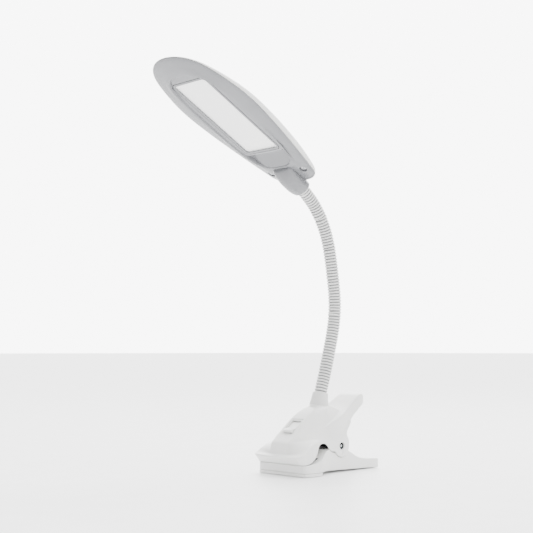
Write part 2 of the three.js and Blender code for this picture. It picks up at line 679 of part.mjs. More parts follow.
// The middle line of the neck from inside the housing to inside the saddle.
const NECK_ROUTE = [
  [37.3, 53.3],
  [39.4, 65.2],
  [42.2, 78.6],
  [46.6, 92.4],
  [51, 107.1],
  [55.2, 121.8],
  [59.2, 136.7],
  [62, 151.8],
  [63, 166.7],
  [62.2, 180.7],
  [60.4, 193.5],
  [58.1, 208.2],
  [54.9, 224.2],
  [50.6, 238.2],
  [43.7, 252.3],
  [33.6, 266.4],
  [26, 273.8],
  [19.4, 279.3],
  [12.7, 284.9],
];
const neckLine = new THREE.CatmullRomCurve3(NECK_ROUTE.map(([y, z]) => vec(0, y, z)), false, "centripetal");
neckLine.arcLengthDivisions = 600;
const NECK_LENGTH = neckLine.getLength();
const COLLAR_AT = 12.1; // distance along the neck line at which the collar stands on the housing
const COLLAR_SEAT_DEPTH = 0.8;
const NECK_BOSS_DEPTH = 7.2; // the ring under the housing roof that the neck's nut pulls on
const SADDLE_INSERT = 5; // how far the neck's end goes into the saddle
const BALL_EDGE = Math.sqrt(JOINT_BALL_RADIUS ** 2 - NECK_RADIUS ** 2);
const FIRST_JOINT = COLLAR_AT + COLLAR_HEIGHT + 7;
const LAST_JOINT = NECK_LENGTH - SADDLE_INSERT - BALL_EDGE - 5;

function neckPlace(distance) {
  const share = distance / NECK_LENGTH;
  return { point: neckLine.getPointAt(share), tangent: neckLine.getTangentAt(share) };
}

function neckBar(from, to, radius, endRadius = radius) {
  const { point, tangent } = neckPlace(COLLAR_AT);
  const at = (distance) => point.clone().addScaledVector(tangent, distance);
  return bar(at(from), at(to), radius, endRadius, 18);
}

function neckRing(point, tangent, radius) {
  const across = tangent.clone().cross(X_AXIS);
  return Array.from({ length: NECK_SIDES }, (_, i) => {
    const angle = (2 * Math.PI * i) / NECK_SIDES;
    const spot = point.clone().addScaledVector(X_AXIS, radius * Math.cos(angle));
    return spot.addScaledVector(across, radius * Math.sin(angle));
  });
}

// The round end of a segment, or the hollow that turns on it, as rings about the joint's centre.
function ballRings(distance, radius) {
  const { point, tangent } = neckPlace(distance);
  const edge = Math.asin(NECK_VALLEY_RADIUS / radius);
  return [0.1, 0.55, 1].map((share) => {
    const lift = radius * Math.cos(edge * share);
    return neckRing(point.clone().addScaledVector(tangent, lift), tangent, radius * Math.sin(edge * share));
  });
}

const jointAt = (number) => FIRST_JOINT + ((LAST_JOINT - FIRST_JOINT) * (number - 1)) / (NECK_SEGMENTS - 2);

function neckSegment(number) {
  const first = number === 1;
  const last = number === NECK_SEGMENTS;
  const start = first ? 0.5 : jointAt(number - 1) + BALL_EDGE + 1.2;
  const end = last ? NECK_LENGTH - 0.5 : jointAt(number) + BALL_EDGE - 0.6;
  const ridges = Math.round((end - start) / NECK_RIDGE_SPACING);
  const rings = first ? [] : ballRings(jointAt(number - 1), JOINT_BALL_RADIUS + SEAT_GAP);
  for (let i = 0; i <= 2 * ridges; i++) {
    const { point, tangent } = neckPlace(start + ((end - start) * i) / (2 * ridges));
    rings.push(neckRing(point, tangent, i % 2 ? NECK_RADIUS : NECK_VALLEY_RADIUS));
  }
  if (!last) rings.push(...ballRings(jointAt(number), JOINT_BALL_RADIUS).reverse());
  return loft(rings);
}

function neckCollar() {
  const radii = [COLLAR_LOWER_RADIUS, COLLAR_UPPER_RADIUS];
  const sleeve = neckBar(-COLLAR_SEAT_DEPTH + 0.05, COLLAR_HEIGHT, ...radii);
  return sleeve.subtract(neckBar(-4, COLLAR_HEIGHT + 4, NECK_RADIUS + 0.2));
}

function neckNut() {
  const { point, tangent } = neckPlace(COLLAR_AT);
  const at = (distance) => point.clone().addScaledVector(tangent, distance);
  const radius = NECK_RADIUS + 2.3;
  const hexagon = bar(at(-NECK_BOSS_DEPTH - 3.4), at(-NECK_BOSS_DEPTH - 0.2), radius, radius, 6);
  return hexagon.subtract(neckBar(-12, 0, NECK_RADIUS + 0.2));
}

// ---------------------------------------------------------------- lamp head

const HEAD_TIP = -87;
const HEAD_END = 110;
const HEAD_HALF_WIDTH = 47.9;
const HEAD_OUTLINE = [
  [19.5, -82.4],
  [34, -69.4],
  [44.9, -38],
  [HEAD_HALF_WIDTH, -14],
  [45.4, 18],
  [39, 55.6],
  [31.8, 88.9],
  [28, 101.4],
  [19, 108],
];
const HEAD_POINTS = 36;
const DOME_HEIGHT = [
  [-84, 1.8],
  [-63, 4],
  [-43, 6.4],
  [-20, 8],
  [6, 9.4],
  [37, 10.6],
  [68, 10.6],
  [91, 8.4],
  [101, 6.2],
  [HEAD_END, 3],
];
const rimHeight = (y) => 2.2 + y / 99;

const headCurve = new THREE.CatmullRomCurve3(
  [
    vec(0, HEAD_TIP, 0),
    ...HEAD_OUTLINE.map(([x, y]) => vec(x, y, 0)),
    vec(0, HEAD_END, 0),
    ...HEAD_OUTLINE.map(([x, y]) => vec(-x, y, 0)).reverse(),
  ],
  true,
  "centripetal",
);
const headPoints = headCurve.getSpacedPoints(HEAD_POINTS).slice(0, HEAD_POINTS);

// The head's outline moved in by an inset, with each point at the height that the rule gives.
function headRing(inset, heightAt) {
  const middle = (HEAD_TIP + HEAD_END) / 2;
  const halfLength = (HEAD_END - HEAD_TIP) / 2;
  return headPoints.map(({ x, y }) => {
    const px = (x * (HEAD_HALF_WIDTH - inset)) / HEAD_HALF_WIDTH;
    const py = middle + ((y - middle) * (halfLength - inset)) / halfLength;
    return vec(px, py, heightAt(py));
  });
}

// A ring round the window, squarer than an oval, with its points on the same rays as the outline's.
const DISH_POWER = 3.4;

function dishRing(halfWidth, from, to, height) {
  const middle = (from + to) / 2;
  const halfLength = (to - from) / 2;
  return headPoints.map(({ x, y }) => {
    const across = Math.abs(x / halfWidth) ** DISH_POWER;
    const alongside = Math.abs((y - middle) / halfLength) ** DISH_POWER;
    const reach = (across + alongside) ** (1 / DISH_POWER);
    return vec(x / reach, middle + (y - middle) / reach, height);
  });
}

function roundedRectangle(halfWidth, halfLength, corner) {
  const [w, l, r] = [halfWidth, halfLength, corner];
  const path = new THREE.Shape();
  path.moveTo(0, -l);
  path.lineTo(w - r, -l);
  path.absarc(w - r, -l + r, r, -Math.PI / 2, 0);
  path.absarc(w - r, l - r, r, 0, Math.PI / 2);
  path.absarc(-w + r, l - r, r, Math.PI / 2, Math.PI);
  path.absarc(-w + r, -l + r, r, Math.PI, 1.5 * Math.PI);
  path.closePath();
  return path;
}

function windowPlate(grow, low, high) {
  const path = roundedRectangle(WINDOW_HALF_WIDTH + grow, WINDOW_HALF_LENGTH + grow, WINDOW_CORNER + grow);
  return prism("z", path.getPoints(5).slice(0, -1).map(({ x, y }) => [x, y]), low, high);
}

// The grey underside: a shallow bowl with a dish round the window.
function coverRings(lift) {
  const bowl = [[1.2, 0.9 + 0.55 * lift], [6, 2], [12, 2.9]];
  return [
    ...bowl.map(([inset, drop]) => headRing(inset + lift, (y) => rimHeight(y) - drop + lift)),
    dishRing(30.5, -65, 79, -1.3 + lift),
    dishRing(29, -63, 76, -0.2 + lift),
    dishRing(WINDOW_HALF_WIDTH - 4, -WINDOW_HALF_LENGTH + 5, WINDOW_HALF_LENGTH - 5, lift),
  ];
}

function headCover(head) {
  const outside = [headRing(0, rimHeight), ...coverRings(0)];
  const inside = [...coverRings(HEAD_WALL).reverse(), headRing(HEAD_WALL, rimHeight)];
  let made = loft([...outside, ...inside], true).subtract(windowPlate(0, -9, 9));
  for (const side of [-1, 1]) {
    const at = (z) => vec(side * HEAD_SCREW.x, HEAD_SCREW.y, z);
    made = made.add(bar(at(1.5), at(3.3), 4.8, 4.8, 18));
    made = made.subtract(bar(at(-4), at(1.6), 4, 3.6, 18));
    made = made.subtract(bar(at(-4), at(6), SCREW_SHANK_RADIUS + 0.3));
  }
  return made.subtract(saddleBarrel(head, SEAT_GAP));
}

const DOME_STEPS = [[0, 0.02], [0.5, 0.4], [2.6, 0.72], [8, 0.9], [18, 0.98], [32, 1.02]];

function dome(inset, drop, from = 0) {
  const rings = DOME_STEPS.map(([step, share]) =>
    headRing(step + inset, (y) => rimHeight(y) + HEAD_SEAM + along(DOME_HEIGHT, y) * share - drop),
  );
  const skirt = headRing(inset, (y) => rimHeight(y) + from);
  return loft([skirt, ...rings]);
}

function headShell() {
  const inner = dome(HEAD_WALL, HEAD_WALL, -6);
  let made = dome(0, 0, HEAD_SEAM - 0.05).subtract(inner);
  for (const side of [-1, 1]) {
    const at = (z) => vec(side * HEAD_SCREW.x, HEAD_SCREW.y, z);
    made = made.add(bar(at(3.6), at(16), 3.2, 3.2, 14).intersect(dome(0.6, 0.6, -6)));
    made = made.subtract(bar(at(2), at(SCREW_LENGTH + 0.8), SCREW_SHANK_RADIUS + PIN_GAP));
  }
  return made;
}

function headScrew(side) {
  const at = (z) => vec(side * HEAD_SCREW.x, HEAD_SCREW.y, z);
  const driver = bar(at(-1), at(0.9), 1.1, 1.1, 6);
  const head = bar(at(0.2), at(1.6), 2.2, SCREW_HEAD_RADIUS + 0.4, 16).subtract(driver);
  return head.add(bar(at(1.5), at(SCREW_LENGTH + 0.4), SCREW_SHANK_RADIUS, SCREW_SHANK_RADIUS, 10));
}

function windowFrame() {
  const plate = windowPlate(-SEAT_GAP, -0.3, FRAME_THICKNESS - 0.3);
  return plate.subtract(windowPlate(-SEAT_GAP - FRAME_WIDTH, -2, 4));
}

function diffuserPanel() {
  return windowPlate(-SEAT_GAP - 0.6, FRAME_THICKNESS - 0.1, FRAME_THICKNESS - 0.1 + DIFFUSER_THICKNESS);
}

function lightBoard() {
  const low = FRAME_THICKNESS + DIFFUSER_THICKNESS + LED_HEIGHT + 0.2;
  let made = box([-20, -44, low], [20, 46, low + LIGHT_BOARD_THICKNESS]);
  for (let row = 0; row < LED_ROWS; row++) {
    for (let column = 0; column < LEDS_PER_ROW; column++) {
      const x = -15 + (30 * row) / (LED_ROWS - 1);
      const y = -39 + (80 * column) / (LEDS_PER_ROW - 1);
      const half = LED_SIZE / 2;
      made = made.add(box([x - half, y - half, low - LED_HEIGHT], [x + half, y + half, low + 0.1]));
    }
  }
  return made;
}

// The saddle is a half barrel that grows from the underside to the round mouth for the neck.
const SADDLE_RINGS = [
  [0, -0.8, 3.6],
  [0.12, -1.8, 6.8],
  [0.32, -2.8, 8.9],
  [0.58, -3.2, 10],
  [0.84, -2.8, 10.2],
];
const SADDLE_SIDES = 16;

function saddleBarrel(head, grow) {
  const { point, tangent } = neckPlace(NECK_LENGTH - SADDLE_INSERT);
  const exit = head.worldToLocal(point);
  const turned = tangent.clone().applyQuaternion(head.quaternion.clone().invert());
  const ring = (centre, direction, radius) => {
    const across = direction.clone().cross(X_AXIS);
    return Array.from({ length: SADDLE_SIDES }, (_, i) => {
      const angle = (2 * Math.PI * i) / SADDLE_SIDES;
      const spot = centre.clone().addScaledVector(X_AXIS, radius * Math.cos(angle));
      return spot.addScaledVector(across, radius * Math.sin(angle));
    });
  };
  const forward = vec(0, -1, 0);
  const rings = SADDLE_RINGS.map(([share, z, radius]) => {
    const y = SADDLE_FRONT + (exit.y - SADDLE_FRONT) * share;
    const direction = forward.clone().lerp(turned, share * 0.8).normalize();
    return ring(vec(0, y - (share === 0 ? grow : 0), z), direction, radius + grow);
  });
  rings.push(ring(exit.clone().addScaledVector(turned, -grow), turned, SADDLE_MOUTH_RADIUS + grow));
  return loft(rings);
}

function neckSaddle(head) {
  const { point, tangent } = neckPlace(NECK_LENGTH - SADDLE_INSERT);
  const exit = head.worldToLocal(point);
  const turned = tangent.clone().applyQuaternion(head.quaternion.clone().invert());
  const at = (distance) => exit.clone().addScaledVector(turned, distance);
  const bore = bar(at(-2), at(SADDLE_INSERT), NECK_RADIUS + SEAT_GAP, NECK_RADIUS + SEAT_GAP, 24);
  const throat = bar(at(2), at(SADDLE_INSERT + 3.4), 4.7, 4.9, 16);
  const roof = dome(-SEAT_GAP, -SEAT_GAP, -0.1);
  return saddleBarrel(head, 0).subtract(roof).subtract(bore).subtract(throat);
}

function neckFerrule(head) {
  const { point, tangent } = neckPlace(NECK_LENGTH);
  const start = head.worldToLocal(point);
  const turned = tangent.clone().applyQuaternion(head.quaternion.clone().invert());
  const at = (distance) => start.clone().addScaledVector(turned, distance);
  return bar(at(0.2), at(3), 4.4, 4.6, 14).subtract(bar(at(-1), at(6), 3.2, 3.2, 12));
}

// ---------------------------------------------------------------- assembly

addPiece("lower_jaw", lowerJaw(), whiteShell);
addPiece("foot_pad", footPad(), whiteShell);
addPiece("lower_grip_pad", lowerPad(0), softPad);
addPiece("upper_jaw_housing", upperJaw(), whiteShell);
addPiece("housing_floor", housingFloor(), whiteShell);
addPiece("upper_grip_pad", upperPad(), softPad);
SCREW_PLACES.forEach(([x, y], i) => addPiece(`floor_screw_${i + 1}`, floorScrew(x, y), zincSteel));
addPiece("battery_cell", batteryCell(), cellSleeve);
addPiece("cell_cradle", cellCradle(), blackNylon);
addPiece("charge_board", chargeBoard(), greenBoard);
addPiece("charge_socket", chargeSocket(), zincSteel);
addPiece("pivot_pin", pivotPin(), zincSteel);
addPiece("pin_retainer_left", pinRetainer(-1), springSteel);
addPiece("pin_retainer_right", pinRetainer(1), springSteel);
addPiece("spring_bush", springBush(), blackNylon);
addPiece("torsion_spring", torsionSpring(), springSteel);

const slope = switchFrame();
lamp.add(slope);
addPiece("switch_body", switchBody(), whiteShell, slope);
addPiece("switch_rocker", switchRocker(), whiteShell, slope);

addPiece("neck_collar", neckCollar(), neckSleeve);
addPiece("neck_nut", neckNut(), zincSteel);
for (let number = 1; number <= NECK_SEGMENTS; number++) {
  addPiece(`neck_segment_${number}`, neckSegment(number), neckSleeve);
}

const head = new THREE.Group();
head.position.set(0, HEAD_CENTRE.y, HEAD_CENTRE.z);
head.rotation.x = radians(-HEAD_TILT);
head.updateMatrixWorld(true);
lamp.add(head);
addPiece("head_top_shell", headShell(), whiteShell, head);
addPiece("head_cover", headCover(head), silverCover, head);
addPiece("window_frame", windowFrame(), silverCover, head);
addPiece("diffuser_panel", diffuserPanel(), opalPanel, head);
addPiece("light_board", lightBoard(), whiteBoard, head);
addPiece("head_screw_left", headScrew(-1), zincSteel, head);
addPiece("head_screw_right", headScrew(1), zincSteel, head);
addPiece("neck_saddle", neckSaddle(head), silverCover, head);
addPiece("neck_ferrule", neckFerrule(head), zincSteel, head);

export default lamp;
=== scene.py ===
# %% [markdown]
# # A clip-on reading lamp
# The lamp is a sprung desk clip of white ABS, a corrugated gooseneck and a flat oval head with an
# opal window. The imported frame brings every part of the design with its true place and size. This
# lesson gives the parts their looks: the moulded shells get soft edges and curved faces, the neck
# gets its ridges, and each material starts from the real one.

# %% Start from the frame
import json
import math

import bmesh
import bpy
import numpy as np
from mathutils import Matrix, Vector


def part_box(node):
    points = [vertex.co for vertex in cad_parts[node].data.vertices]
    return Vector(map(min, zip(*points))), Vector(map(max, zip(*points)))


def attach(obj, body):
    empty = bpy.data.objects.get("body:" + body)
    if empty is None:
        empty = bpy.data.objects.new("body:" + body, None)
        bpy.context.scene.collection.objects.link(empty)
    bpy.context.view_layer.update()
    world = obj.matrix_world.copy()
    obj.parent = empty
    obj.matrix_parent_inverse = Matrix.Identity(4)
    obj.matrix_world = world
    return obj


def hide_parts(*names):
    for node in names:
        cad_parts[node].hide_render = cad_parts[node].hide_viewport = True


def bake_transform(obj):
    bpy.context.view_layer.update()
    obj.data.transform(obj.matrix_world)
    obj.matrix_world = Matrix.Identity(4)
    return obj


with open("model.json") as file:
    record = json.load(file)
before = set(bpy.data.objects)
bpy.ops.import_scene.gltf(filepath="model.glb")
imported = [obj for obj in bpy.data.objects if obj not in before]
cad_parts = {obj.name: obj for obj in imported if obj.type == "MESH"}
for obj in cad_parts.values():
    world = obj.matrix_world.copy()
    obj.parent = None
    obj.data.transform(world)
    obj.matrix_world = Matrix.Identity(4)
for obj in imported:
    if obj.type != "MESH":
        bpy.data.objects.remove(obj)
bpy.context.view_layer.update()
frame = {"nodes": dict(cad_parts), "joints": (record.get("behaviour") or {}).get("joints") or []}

MM = 0.001
joints = {joint["name"]: joint for joint in frame["joints"]}

# %% [markdown]
# ## Places from the frame
# A design has a few driving places. They are read back from the frame, so the looks follow the
# design when it changes: the clip's pivot, the neck's middle line and the head's own axes.

# %% Driving places
def box_mm(node):
    low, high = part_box(node)
    return np.array(low) / MM, np.array(high) / MM


def node_points(node):
    data = frame["nodes"][node].data
    points = np.zeros(len(data.vertices) * 3)
    data.vertices.foreach_get("co", points)
    return np.unique(np.round(points.reshape(-1, 3) / MM, 4), axis=0)


PIVOT = np.array(joints["clip_hinge"]["pos_m"]) / MM
NOSE_HALF_WIDTH = box_mm("lower_jaw")[1][0]
JAW_FRONT = box_mm("lower_jaw")[0][1]
TAIL_END = box_mm("lower_jaw")[1][1]
FOOT_HEIGHT = box_mm("foot_pad")[1][2]
FOOT_REAR = box_mm("foot_pad")[1][1]
CHEEK_HALF_WIDTH = 19.8
PIN_LENGTH = box_mm("pivot_pin")[1][0]
PIN_RADIUS = (box_mm("pivot_pin")[1][2] - box_mm("pivot_pin")[0][2]) / 2
print("pivot at", PIVOT, "half width of the nose", round(NOSE_HALF_WIDTH, 2))

# %% The head's own axes, from the flat opal panel
panel = node_points("diffuser_panel")
panel_middle = (panel.min(0) + panel.max(0)) / 2
spread = np.linalg.svd(panel - panel.mean(0), full_matrices=False)[2]
along_head = spread[0] * np.sign(spread[0][1])
through_head = spread[2] * np.sign(spread[2][2])
PANEL_LEVEL = 2.25
head_origin = panel_middle - through_head * PANEL_LEVEL
HEAD_AXES = np.array([np.cross(along_head, through_head), along_head, through_head])
print(
    "head tilt",
    round(math.degrees(math.asin(-along_head[2])), 2),
    "degrees at",
    head_origin.round(1),
)


def head_to_lamp(points):
    return np.asarray(points, float) @ HEAD_AXES + head_origin


def lamp_to_head(points):
    return (np.asarray(points, float) - head_origin) @ HEAD_AXES.T


# %% [markdown]
# ## Shared helpers
# A moulded part is drawn here as a few tables of sections with a smooth value between them, then
# skinned. Solids are joined and cut with the Boolean modifier, and a voxel remesh with a few
# smoothing passes gives the small even edge radii that a mould leaves.

# %% Smooth values between the stations of a table
def smooth_value(stations, at):
    positions = np.array([s[0] for s in stations], float)
    values = np.array([s[1] for s in stations], float)
    slopes = np.gradient(values, positions)
    at = np.clip(np.asarray(at, float), positions[0], positions[-1])
    i = np.clip(np.searchsorted(positions, at, side="right") - 1, 0, len(positions) - 2)
    span = positions[i + 1] - positions[i]
    t = (at - positions[i]) / span
    rise = slopes[i] * span * (t**3 - 2 * t**2 + t) + slopes[i + 1] * span * (t**3 - t**2)
    return values[i] * (2 * t**3 - 3 * t**2 + 1) + values[i + 1] * (3 * t**2 - 2 * t**3) + rise


def soft_outline(corners, rounds=2, closed=True):
    points = np.array(corners, float)
    for _ in range(rounds):
        following = np.roll(points, -1, axis=0)
        near = 0.75 * points + 0.25 * following
        far = 0.25 * points + 0.75 * following
        cut = np.stack([near, far], axis=1).reshape(-1, 2)
        points = cut if closed else np.vstack([points[:1], cut[1:-3], points[-1:]])
    return points


# %% Meshes from rings and outlines
MERGE_MM = 0.01


def add_object(name, data):
    made = bpy.data.objects.new(name, data)
    bpy.context.scene.collection.objects.link(made)
    return made


def close_mesh(data, merge_mm):
    """Merges points that lie together and turns every face outwards."""
    shape = bmesh.new()
    shape.from_mesh(data)
    bmesh.ops.remove_doubles(shape, verts=shape.verts, dist=merge_mm * MM)
    bmesh.ops.recalc_face_normals(shape, faces=shape.faces)
    shape.to_mesh(data)
    shape.free()


def mesh_object(name, points, faces):
    data = bpy.data.meshes.new(name)
    data.from_pydata([tuple(p) for p in np.asarray(points) * MM], [], faces)
    close_mesh(data, MERGE_MM)
    return add_object(name, data)


def guide(name, points, joined):
    """Points for a node tree to start from, joined in a line or loose."""
    edges = [(i, i + 1) for i in range(len(points) - 1)] if joined else []
    data = bpy.data.meshes.new(name)
    data.from_pydata([tuple(p) for p in np.asarray(points) * MM], edges, [])
    return add_object(name, data)


def loft(name, rings, endless=False):
    rings = np.asarray(rings, float)
    spans, count = len(rings), len(rings[0])
    faces = []
    for r in range(spans if endless else spans - 1):
        following = (r + 1) % spans
        for i in range(count):
            j = (i + 1) % count
            faces.append(
                (r * count + i, r * count + j, following * count + j, following * count + i)
            )
    if not endless:
        faces.append(tuple(range(count)))
        faces.append(tuple((spans - 1) * count + i for i in range(count)))
    return mesh_object(name, rings.reshape(-1, 3), faces)


def prism(name, axis, outline, low, high):
    flat = np.array(outline, float)
    sheets = []
    for level in (low, high):
        column = np.full(len(flat), level)
        if axis == "x":
            sheets.append(np.column_stack([column, flat[:, 0], flat[:, 1]]))
        else:
            sheets.append(np.column_stack([flat[:, 0], flat[:, 1], column]))
    return loft(name, sheets)


def block(name, low, high):
    corners = [(low[0], low[1]), (high[0], low[1]), (high[0], high[1]), (low[0], high[1])]
    return prism(name, "z", corners, low[2], high[2])


def turned(name, start, direction, profile, sides=48):
    """A round solid: (distance along, radius) stations about a line."""
    direction = np.array(direction, float) / np.linalg.norm(direction)
    side = np.cross(direction, [0, 0, 1] if abs(direction[2]) < 0.9 else [1, 0, 0])
    side = side / np.linalg.norm(side)
    up = np.cross(direction, side)
    angles = np.linspace(0, 2 * math.pi, sides, endpoint=False)
    circle = np.outer(np.cos(angles), side) + np.outer(np.sin(angles), up)
    return loft(name, [np.array(start) + direction * d + circle * r for d, r in profile])


# %% Joining, cutting and softening
def settle(piece):
    """The piece's mesh takes the result of its modifiers."""
    graph = bpy.context.evaluated_depsgraph_get()
    finished = bpy.data.meshes.new_from_object(piece.evaluated_get(graph))
    piece.modifiers.clear()
    piece.data = finished
    return piece


def combine(piece, other, operation):
    step = piece.modifiers.new("cut", "BOOLEAN")
    step.operation = operation
    step.solver = "EXACT"
    step.object = other
    settle(piece)
    bpy.data.objects.remove(other)
    return piece


MOULD_VOXEL, MOULD_PASSES = 0.58, 2


def soften(piece, voxel=MOULD_VOXEL, passes=MOULD_PASSES):
    step = piece.modifiers.new("even mesh", "REMESH")
    step.mode = "VOXEL"
    step.voxel_size = voxel * MM
    rounding = piece.modifiers.new("edge radii", "SMOOTH")
    rounding.factor = 0.5
    rounding.iterations = passes
    settle(piece)
    piece.data.shade_smooth()
    return piece


def smooth_by_angle(piece, degrees=35):
    piece.data.shade_smooth()
    piece.data.set_sharp_from_angle(angle=math.radians(degrees))
    return piece


def bevel_edges(piece, width, segments):
    edge = piece.modifiers.new("edge radii", "BEVEL")
    edge.width, edge.segments, edge.limit_method = width * MM, segments, "ANGLE"
    settle(piece)
    return smooth_by_angle(piece)


# %% [markdown]
# ## Materials
# Each finish starts from the real material: ABS shells have a satin skin from a finely eroded
# mould, the neck's PVC sleeve is matt, the window is opal acrylic. One helper adds a node with its
# settings and its links, and every colour is an sRGB hex value turned to linear light.

# %% Colour and node helpers
def srgb(code):
    parts = [int(code[i : i + 2], 16) / 255 for i in (1, 3, 5)]
    linear = [p / 12.92 if p <= 0.04045 else ((p + 0.055) / 1.055) ** 2.4 for p in parts]
    return (*linear, 1.0)


def add_node(tree, kind, links=None, inputs=None, **settings):
    node = tree.nodes.new(kind)
    for key, value in settings.items():
        setattr(node, key, value)
    for key, value in (inputs or {}).items():
        node.inputs[key].default_value = value
    for key, source in (links or {}).items():
        tree.links.new(source, node.inputs[key])
    return node


def new_material(name, **constants):
    material = bpy.data.materials.new(name)
    material.use_nodes = True
    shader = material.node_tree.nodes["Principled BSDF"]
    for key, value in constants.items():
        shader.inputs[key.replace("_", " ")].default_value = value
    return material, material.node_tree, shader


def per_metre(size_mm):
    """The scale of a noise whose features are this many millimetres wide."""
    return 1 / (size_mm * MM)


# %% Moulded and coated finishes
DRIFT_MM = 40
MARKS_MM = 0.4
METAL_GLOSS_SPREAD = 0.08
# The Mix node's sockets have the same names for each kind of data, so colours go by number.
MIX_FACTOR, MIX_A, MIX_B, MIX_RESULT = 0, 6, 7, 2


def mottled(name, light, dark, grain_mm, rough, spread, relief, **constants):
    """A moulded skin: a faint two-tone drift, an uneven gloss and a fine eroded grain."""
    material, tree, shader = new_material(name, **constants)
    place = add_node(tree, "ShaderNodeTexCoord").outputs["Object"]
    drift = add_node(
        tree, "ShaderNodeTexNoise", {"Vector": place}, {"Scale": per_metre(DRIFT_MM), "Detail": 3}
    )
    ramp = add_node(tree, "ShaderNodeValToRGB", {"Fac": drift.outputs["Fac"]})
    ramp.color_ramp.elements[0].position, ramp.color_ramp.elements[0].color = 0.35, srgb(dark)
    ramp.color_ramp.elements[1].position, ramp.color_ramp.elements[1].color = 0.65, srgb(light)
    grain = add_node(
        tree, "ShaderNodeTexNoise", {"Vector": place}, {"Scale": per_metre(grain_mm), "Detail": 2}
    )
    gloss = add_node(
        tree,
        "ShaderNodeMapRange",
        {"Value": grain.outputs["Fac"]},
        {"To Min": rough - spread, "To Max": rough + spread},
    )
    bump = add_node(
        tree,
        "ShaderNodeBump",
        {"Height": grain.outputs["Fac"]},
        {"Strength": 0.5, "Distance": relief * MM},
    )
    tree.links.new(ramp.outputs["Color"], shader.inputs["Base Color"])
    tree.links.new(gloss.outputs["Result"], shader.inputs["Roughness"])
    tree.links.new(bump.outputs["Normal"], shader.inputs["Normal"])
    return material


# ABS from an eroded mould: clean white with a soft sheen. The grain is drawn at 0.9 mm, coarser
# than the real one, so that it shows.
white_shell = mottled("white_moulded_abs", "#f4f4f2", "#efefed", 0.9, 0.34, 0.05, 0.01, IOR=1.54)
# Silver-grey ABS with a polished skin: mid grey with long soft reflections.
silver_cover = mottled("silver_moulded_abs", "#7f8083", "#797a7d", 1.2, 0.2, 0.03, 0.004, IOR=1.54)
# Plasticised PVC sleeve: matt, slightly grey white.
collar_rubber = mottled("collar_pvc", "#e4e4e2", "#dcdcda", 0.7, 0.5, 0.06, 0.01, IOR=1.53)
neck_sleeve = mottled(
    "corrugated_pvc_sleeve", "#ececea", "#e6e6e4", 0.7, 0.45, 0.06, 0.01, IOR=1.53
)


def paint_valley_shade(material):
    """Painted shade in the valleys of the sleeve: its crest attribute turns them grey."""
    tree = material.node_tree
    shader = tree.nodes["Principled BSDF"]
    skin = shader.inputs["Base Color"].links[0].from_socket
    crest = add_node(tree, "ShaderNodeAttribute", attribute_name="crest")
    ramp = add_node(tree, "ShaderNodeValToRGB", {"Fac": crest.outputs["Fac"]})
    ramp.color_ramp.elements[0].position, ramp.color_ramp.elements[0].color = 0.08, srgb("#8a8b8d")
    ramp.color_ramp.elements[1].position, ramp.color_ramp.elements[1].color = 0.75, srgb("#ffffff")
    links = {MIX_A: skin, MIX_B: ramp.outputs["Color"]}
    mix = add_node(
        tree, "ShaderNodeMix", links, {MIX_FACTOR: 1.0}, data_type="RGBA", blend_type="MULTIPLY"
    )
    tree.links.new(mix.outputs[MIX_RESULT], shader.inputs["Base Color"])


# The sleeve's valleys get painted shade.
paint_valley_shade(neck_sleeve)
# Opal acrylic: milky and matt, it shows no image of the emitters behind it. Its emission is a
# painted glow that lifts the recessed window out of its shade.
opal_panel_painted_glow = mottled(
    "opal_acrylic_painted_glow",
    "#f8f8f7",
    "#f4f4f3",
    2.0,
    0.42,
    0.05,
    0.003,
    IOR=1.49,
    Emission_Color=(1, 1, 1, 1),
    Emission_Strength=0.5,
)
# Silicone rubber pads: dark grey and dull.
grip_pad = mottled("silicone_grip", "#6b6d6f", "#606264", 0.6, 0.72, 0.08, 0.02, IOR=1.43)
# Glass-filled nylon: black with a faint grey bloom.
black_nylon = mottled("black_nylon", "#1c1c1d", "#141415", 0.8, 0.48, 0.08, 0.01, IOR=1.53)
# Solder mask over glass-fibre board.
green_board = mottled("green_solder_mask", "#2f6b45", "#275c3a", 1.5, 0.35, 0.06, 0.01, IOR=1.5)
white_board = mottled("white_solder_mask", "#e9e8e2", "#dedcd4", 1.5, 0.4, 0.06, 0.01, IOR=1.5)
# Heat-shrunk PVC sleeve of the cell.
cell_sleeve = mottled("blue_shrink_sleeve", "#3f6fae", "#376399", 2.5, 0.32, 0.05, 0.01, IOR=1.53)
print("moulded finishes made")


# %% Metals
def drawn_metal(name, light, dark, rough, stretch):
    """Metal with fine marks along X, the direction in which pins and wire are drawn or plated."""
    material, tree, shader = new_material(name, Metallic=1.0)
    place = add_node(tree, "ShaderNodeTexCoord").outputs["Object"]
    squeezed = add_node(
        tree, "ShaderNodeMapping", {"Vector": place}, {"Scale": (stretch, 1.0, 1.0)}
    )
    marks = add_node(
        tree,
        "ShaderNodeTexNoise",
        {"Vector": squeezed.outputs["Vector"]},
        {"Scale": per_metre(MARKS_MM)},
    )
    ramp = add_node(tree, "ShaderNodeValToRGB", {"Fac": marks.outputs["Fac"]})
    ramp.color_ramp.elements[0].color, ramp.color_ramp.elements[1].color = srgb(dark), srgb(light)
    gloss = add_node(
        tree,
        "ShaderNodeMapRange",
        {"Value": marks.outputs["Fac"]},
        {"To Min": rough - METAL_GLOSS_SPREAD, "To Max": rough + METAL_GLOSS_SPREAD},
    )
    tree.links.new(ramp.outputs["Color"], shader.inputs["Base Color"])
    tree.links.new(gloss.outputs["Result"], shader.inputs["Roughness"])
    return material


# Zinc-plated steel for screws and the pin, blackened spring steel for the wire. The same dark steel
# on the washers is painted shade of the gap round the pin's end.
zinc_steel = drawn_metal("zinc_plated_steel", "#d2d4d6", "#b4b6b9", 0.3, 0.15)
spring_steel = drawn_metal("dark_steel_and_painted_ring_shade", "#303133", "#222325", 0.42, 0.15)
print("metals made")

# %% [markdown]
# ## Finished pieces
# A new piece takes the place of one or more frame nodes: it hides them, rides on the same body and
# takes the same finish. A frame node that is already right only gets its material.

